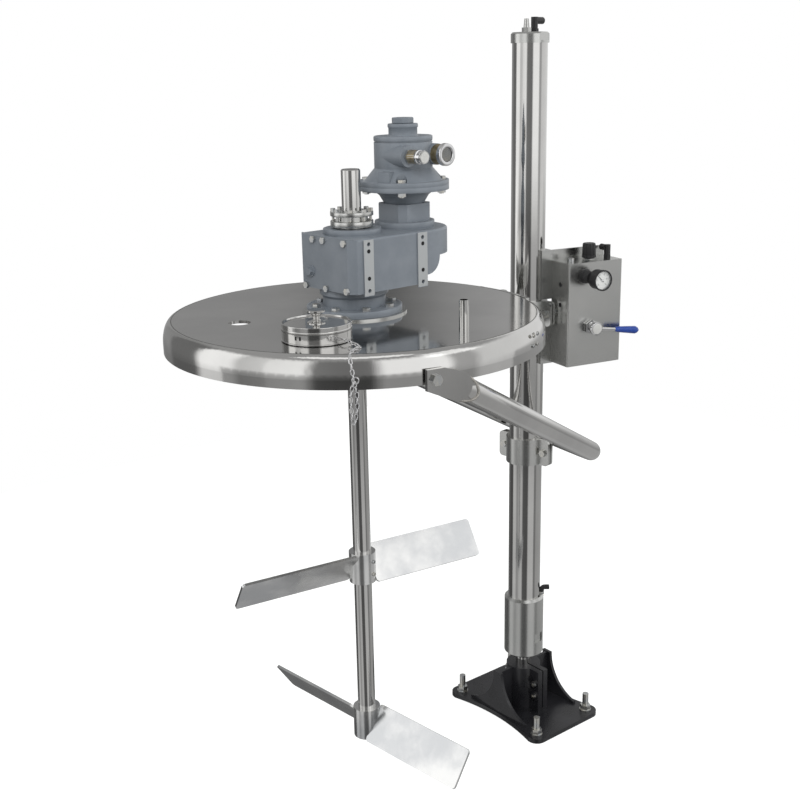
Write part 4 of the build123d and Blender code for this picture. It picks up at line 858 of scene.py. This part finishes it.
# %% Silencer mouth
mouth = wall_seat(*turned_place(gear_turn, 0.040, -0.092, motor_centre), 1.506, gear_turn - 90)
mesh_reach, mesh_pitch, mesh_depth = 0.0146, 0.0021, 0.0022
mesh_wire, mesh_weave = 0.00045, 0.00035
strands = []
for i in range(-6, 7):
    offset = i * mesh_pitch
    half = math.sqrt(mesh_reach ** 2 - offset ** 2)
    s = np.linspace(-half, half, 25)
    weave = mesh_weave * np.cos(s / mesh_pitch * np.pi + i * np.pi)
    level_wire = mouth.at(np.column_stack([s, 0 * s + offset, weave - mesh_depth]))
    upright_wire = mouth.at(np.column_stack([0 * s + offset, s, -weave - mesh_depth]))
    strands += [tube(level_wire, mesh_wire, 6, reference=mouth.axes[1]),
                tube(upright_wire, mesh_wire, 6, reference=mouth.axes[0])]
piece("silencer_mesh", "column", "bronze", *strands, finish="bolt_steel", sharp=180)
# A dark disc deep in the cup, behind the mesh, is painted shade.
piece("silencer_floor", "column", "bronze", disc(mouth, 0.0149, -0.0039, -0.0036, 40), finish="painted_hole_shade")
piece("silencer_ring", "column", "bronze",
      lathe(mouth, [(0.0205, -0.0030), (0.0205, -0.0094), (0.0222, -0.0094), (0.0232, -0.0090),
                    (0.0232, -0.0020), (0.0229, 0.0002), (0.0205, 0.0010), (0.0165, 0.0010), (0.0150, 0.0003),
                    (0.0150, -0.0030)], 64, closed=True), finish="chrome")

# %% [markdown]
# ## The air inlet
# The air comes in through a quick coupling: a ribbed body, a bright sleeve that slides back
# to let go, and a pale face in its mouth. Each is turned, so each is a lathe.

# %% Inlet coupling
inlet = wall_seat(*turned_place(gear_turn, -0.040, -0.063, motor_centre), 1.506, gear_turn - 90)
piece("coupling_sleeve", "column", "satin_steel",
      lathe(inlet, [(0.0110, 0.0300), (0.0142, 0.0300), (0.0144, 0.0320), (0.0144, 0.0342), (0.0130, 0.0350),
                    (0.0130, 0.0400), (0.0138, 0.0408), (0.0138, 0.0440), (0.0128, 0.0448), (0.0110, 0.0448)],
            48, closed=True), finish="chrome")
piece("coupling_body", "column", "satin_steel",
      lathe(inlet, [(0.0120, 0.0060), (0.0141, 0.0060), (0.0142, 0.0066), (0.0142, 0.0292), (0.0120, 0.0296)],
            48, closed=True, flutes=24, depth=0.0003), finish="bronze")
piece("coupling_mouth", "column", "satin_steel",
      lathe(inlet, [(0, 0.0486), (0.0106, 0.0482), (0.0106, 0.0478), (0.0098, 0.0470), (0, 0.0470)], 40),
      finish="pale_cap")

# %% [markdown]
# ## Tapped holes
# The gearbox's milled side pads have four tapped holes. They could be cut from the casting,
# but only their dark mouths are seen, so a thin dark disc of painted shade lies on each.

# %% Tapped holes in the side pads
pad_face = -0.0940
pads = [wall_seat(*turned_place(gear_turn, along, pad_face, lid_centre), height, gear_turn - 90)
        for along in (-0.035, 0.111) for height in (1.275, 1.330)]
piece("tapped_holes", "column", "grey_paint", *[disc(pad, 0.0042, -0.001, 0.0004, 24) for pad in pads],
      finish="painted_hole_shade")

# %% [markdown]
# ## Hub screws
# The propeller hubs are sleeves, each held to the shaft by a row of cap screws on one side.
# The screws turn with the shaft, so they ride on the agitator.

# %% Hub screws
for name, radius, facing, heights in (("upper_hub_screws", 0.0300, -72, (0.595, 0.625)),
                                      ("lower_hub_screws", 0.0310, -20, (0.206, 0.238))):
    hub_seats = [wall_seat(*round_lid(radius, facing), height, facing) for height in heights]
    piece(name, "agitator", "bolt_steel", *[socket_head(seat, 0.0095, 0.0036) for seat in hub_seats])

# %% [markdown]
# ## The column's collar
# The collar at the foot of the column carries a push-in air elbow and a brass plug. The
# elbow's bend is a quarter circle between two straights, so it is one tube along that path.

# %% Collar elbow
collar_turn, elbow_size = math.radians(-40), 0.0105
c, s = math.cos(collar_turn), math.sin(collar_turn)
foot = Seat((0.0462 * c, 0.0462 * s, 0.3302), (s, -c, 0), (c, s, 0))
t = np.linspace(0, np.pi / 2, 8)
bend = np.column_stack([0 * t, elbow_size * 0.8 * (1 - np.cos(t)), elbow_size * (0.9 + 0.8 * np.sin(t))])
elbow_path = np.concatenate([[(0, 0, elbow_size * 0.3)], bend, [(0, elbow_size * 1.9, bend[-1, 2])]])
piece("collar_elbow_body", "column", "black_plastic",
      tube(foot.at(elbow_path), elbow_size * 0.62, 24, reference=foot.axes[0]), sharp=50)
piece("collar_elbow_foot", "column", "satin_steel",
      prism(foot, ring_of(6, elbow_size * 0.72), -0.001, elbow_size * 0.55, 0.06), finish="bolt_steel")

# %% Brass plug
plug_facing, plug_across, plug_height, stub = -12, 0.013, 0.006, 0.003
a, washer, r = math.radians(plug_facing), plug_height * 0.12, plug_across * 0.3
plug = wall_seat(0.0512 * math.cos(a), 0.0512 * math.sin(a), 0.312, plug_facing)
piece("collar_plug", "column", "bolt_steel", disc(plug, plug_across * 0.62, 0, washer, 24),
      prism(plug, ring_of(6, plug_across * 0.577), washer, plug_height, 0.08),
      lathe(plug, [(0, plug_height), (r, plug_height), (r, plug_height + stub * 0.85),
                   (plug_across * 0.24, plug_height + stub), (0, plug_height + stub)], 16), finish="brass")

# %% [markdown]
# ## Holes in the control box
# The side of the control box has two plain holes one above the other. They are dark discs
# of painted shade too, on a seat that looks out of that side.

# %% Holes in the control box's side
box_side, hole_row, a = 0.0395, -0.085, math.radians(panel_turn)
side_wall = Seat((*turned_place(panel_turn, box_side, hole_row), 0), (math.sin(a), -math.cos(a), 0), (0, 0, 1))
piece("side_holes", "column", "satin_steel",
      *[disc(side_wall.moved(0, height), 0.0058, -0.0006, 0.0003, 28) for height in (1.120, 1.170)],
      finish="painted_hole_shade")

# %% [markdown]
# ## The bent bow
# The bow is one bent tube: two straight legs and a half circle between them, in a plane
# that falls away from the column. Its path is worked out from that plane, because the loop
# has to be round in the plane, not in the view from above.

# %% The bow's path
bow_turn, bow_radius, front_side, back_side = 24.3, 0.02415, -0.165, 0.068
height_at_column, fall, downhill = 0.802, math.tan(math.radians(28.4)), math.radians(-7)


def bow_point(along, side):
    """A point of the bow's sloping plane, from distances along and across its direction."""
    x, y = turned_place(bow_turn, along, side)
    return np.array([x, y, height_at_column - fall * (x * math.cos(downhill) + y * math.sin(downhill))])


front_end, front_turn = bow_point(-0.860, front_side), bow_point(0.010, front_side)
bow_along = (front_turn - front_end) / np.linalg.norm(front_turn - front_end)
bow_across, back_leg = bow_point(0, back_side) - bow_point(0, front_side), 0.640
bow_across = bow_across - bow_along * bow_across.dot(bow_along)
loop_radius = np.linalg.norm(bow_across) / 2
bow_across /= 2 * loop_radius
t = np.linspace(-np.pi / 2, np.pi / 2, 33)[:, None]
loop = front_turn + bow_across * loop_radius + loop_radius * (np.cos(t) * bow_along + np.sin(t) * bow_across)
back_end = loop[-1] - bow_along * back_leg
print("bow loop radius", round(float(loop_radius), 4))

# %% [markdown]
# The bow's front end is cut along the lug plate. A cutter would do it, but the tube is a
# grid of lines, so each line simply runs on along the leg until it meets the plate's plane.
# A rippled weld goes round the cut.

# %% The bow and its weld
bow_sides, lug_facing = 48, -106.4 + arm_turn
lug = wall_seat(*round_lid(0.4003, lug_facing), 0, lug_facing)
bow_points, bow_faces = tube(np.vstack([front_end, loop, back_end]), bow_radius, bow_sides,
                             reference=np.cross(bow_along, bow_across))
rings = bow_points.reshape(-1, bow_sides, 3)
for end_ring in rings[:2]:
    away = ((lug.origin - end_ring) @ lug.axes[2]) / (bow_along @ lug.axes[2])
    end_ring += away[:, None] * bow_along
piece("bent_bow", "column", "polished_steel", (rings.reshape(-1, 3), bow_faces), replaces=["bow"], sharp=40)
cut, cut_middle, weld_radius = rings[1], rings[1].mean(0), 0.0026
weld_line = cut_middle + (cut - cut_middle) * 1.04 + bow_along * 0.002
piece("bow_weld", "column", "polished_steel", tube(weld_line, weld_radius, 10, True, lug.axes[2]),
      finish="weld_steel", sharp=180)

# %% [markdown]
# ## Turned faces
# Castings are machined round after casting. A bevel on the solid would do, but a thin
# turned skin with eased edges lies on each flange and boss just as well, and shows the
# true circle with a highlight along its rim.

# %% Turned skins
motor = level_seat(*motor_centre, 0, gear_turn)
gearbox = level_seat(*lid_centre, 0, gear_turn)


def skin(name, body, slot, seat, radius, inner, low, top, ease=0.0012):
    """A ring from an inner radius to the outer one, with both outer corners eased."""
    piece(name, body, slot, lathe(seat, [
        (inner, low), (radius - ease, low), (radius - ease * 0.3, low + ease * 0.3), (radius, low + ease),
        (radius, top - ease), (radius - ease * 0.3, top - ease * 0.3), (radius - ease, top), (inner, top)],
        128, closed=True), sharp=60)


skin("motor_flange_lower", "column", "grey_paint", motor, 0.0961, 0.0905, 1.4328, 1.4426)
skin("motor_flange_upper", "column", "grey_paint", motor, 0.0961, 0.0912, 1.4433, 1.4533)
skin("motor_barrel_skin", "column", "grey_paint", motor, 0.0618, 0.0600, 1.4782, 1.5318, 0.0006)
skin("motor_cap_skin", "column", "grey_paint", motor, 0.0622, 0.0560, 1.5340, 1.5445, 0.0022)
skin("output_flange_skin", "column", "grey_paint", gearbox, 0.1004, 0.0945, 1.1942, 1.2063, 0.0015)
skin("top_boss_skin", "column", "grey_paint", gearbox, 0.0603, 0.0550, 1.3552, 1.3664, 0.0015)
skin("motor_foot_skin", "column", "grey_paint", motor, 0.0643, 0.0600, 1.3552, 1.3683, 0.0015)
skin("shrink_ring_lower", "agitator", "satin_steel", gearbox, 0.0445, 0.0340, 1.3699, 1.3812)
skin("shrink_ring_upper", "agitator", "satin_steel", gearbox, 0.0445, 0.0340, 1.3912, 1.4003)

# %% [markdown]
# ## The motor's crown
# The motor's cap ends in a round neck with a rolled lip, closed by a painted square plug
# with broken corners. The plug stands a little askew, as a hand-tightened one does.

# %% Crown and plug
piece("motor_crown", "column", "grey_paint",
      lathe(motor, [(0.0290, 1.5438), (0.0330, 1.5440), (0.0308, 1.5462), (0.0304, 1.5475), (0.0304, 1.5606),
                    (0.0318, 1.5618), (0.0320, 1.5630), (0.0320, 1.5672), (0.0308, 1.5690), (0.0, 1.5694),
                    (0.0, 1.5440)], 96), sharp=50)
plug_half, plug_skew = 0.0190, 0.006
plug_corners = ((1, 0.55), (0.55, 1), (-0.55, 1), (-1, 0.55),
                (-1, -0.55), (-0.55, -1), (0.55, -1), (1, -0.55))
piece("motor_crown_plug", "column", "satin_steel",
      prism(motor, [(x * plug_half - y * plug_skew, y * plug_half + x * plug_skew) for x, y in plug_corners],
            1.5692, 1.5815, 0.06), finish="grey_paint", replaces=["motor_plug"])

# %% [markdown]
# ## Count the added pieces
# The number of pieces added is printed.

# %% Count the added pieces
print(len(made), "pieces added")
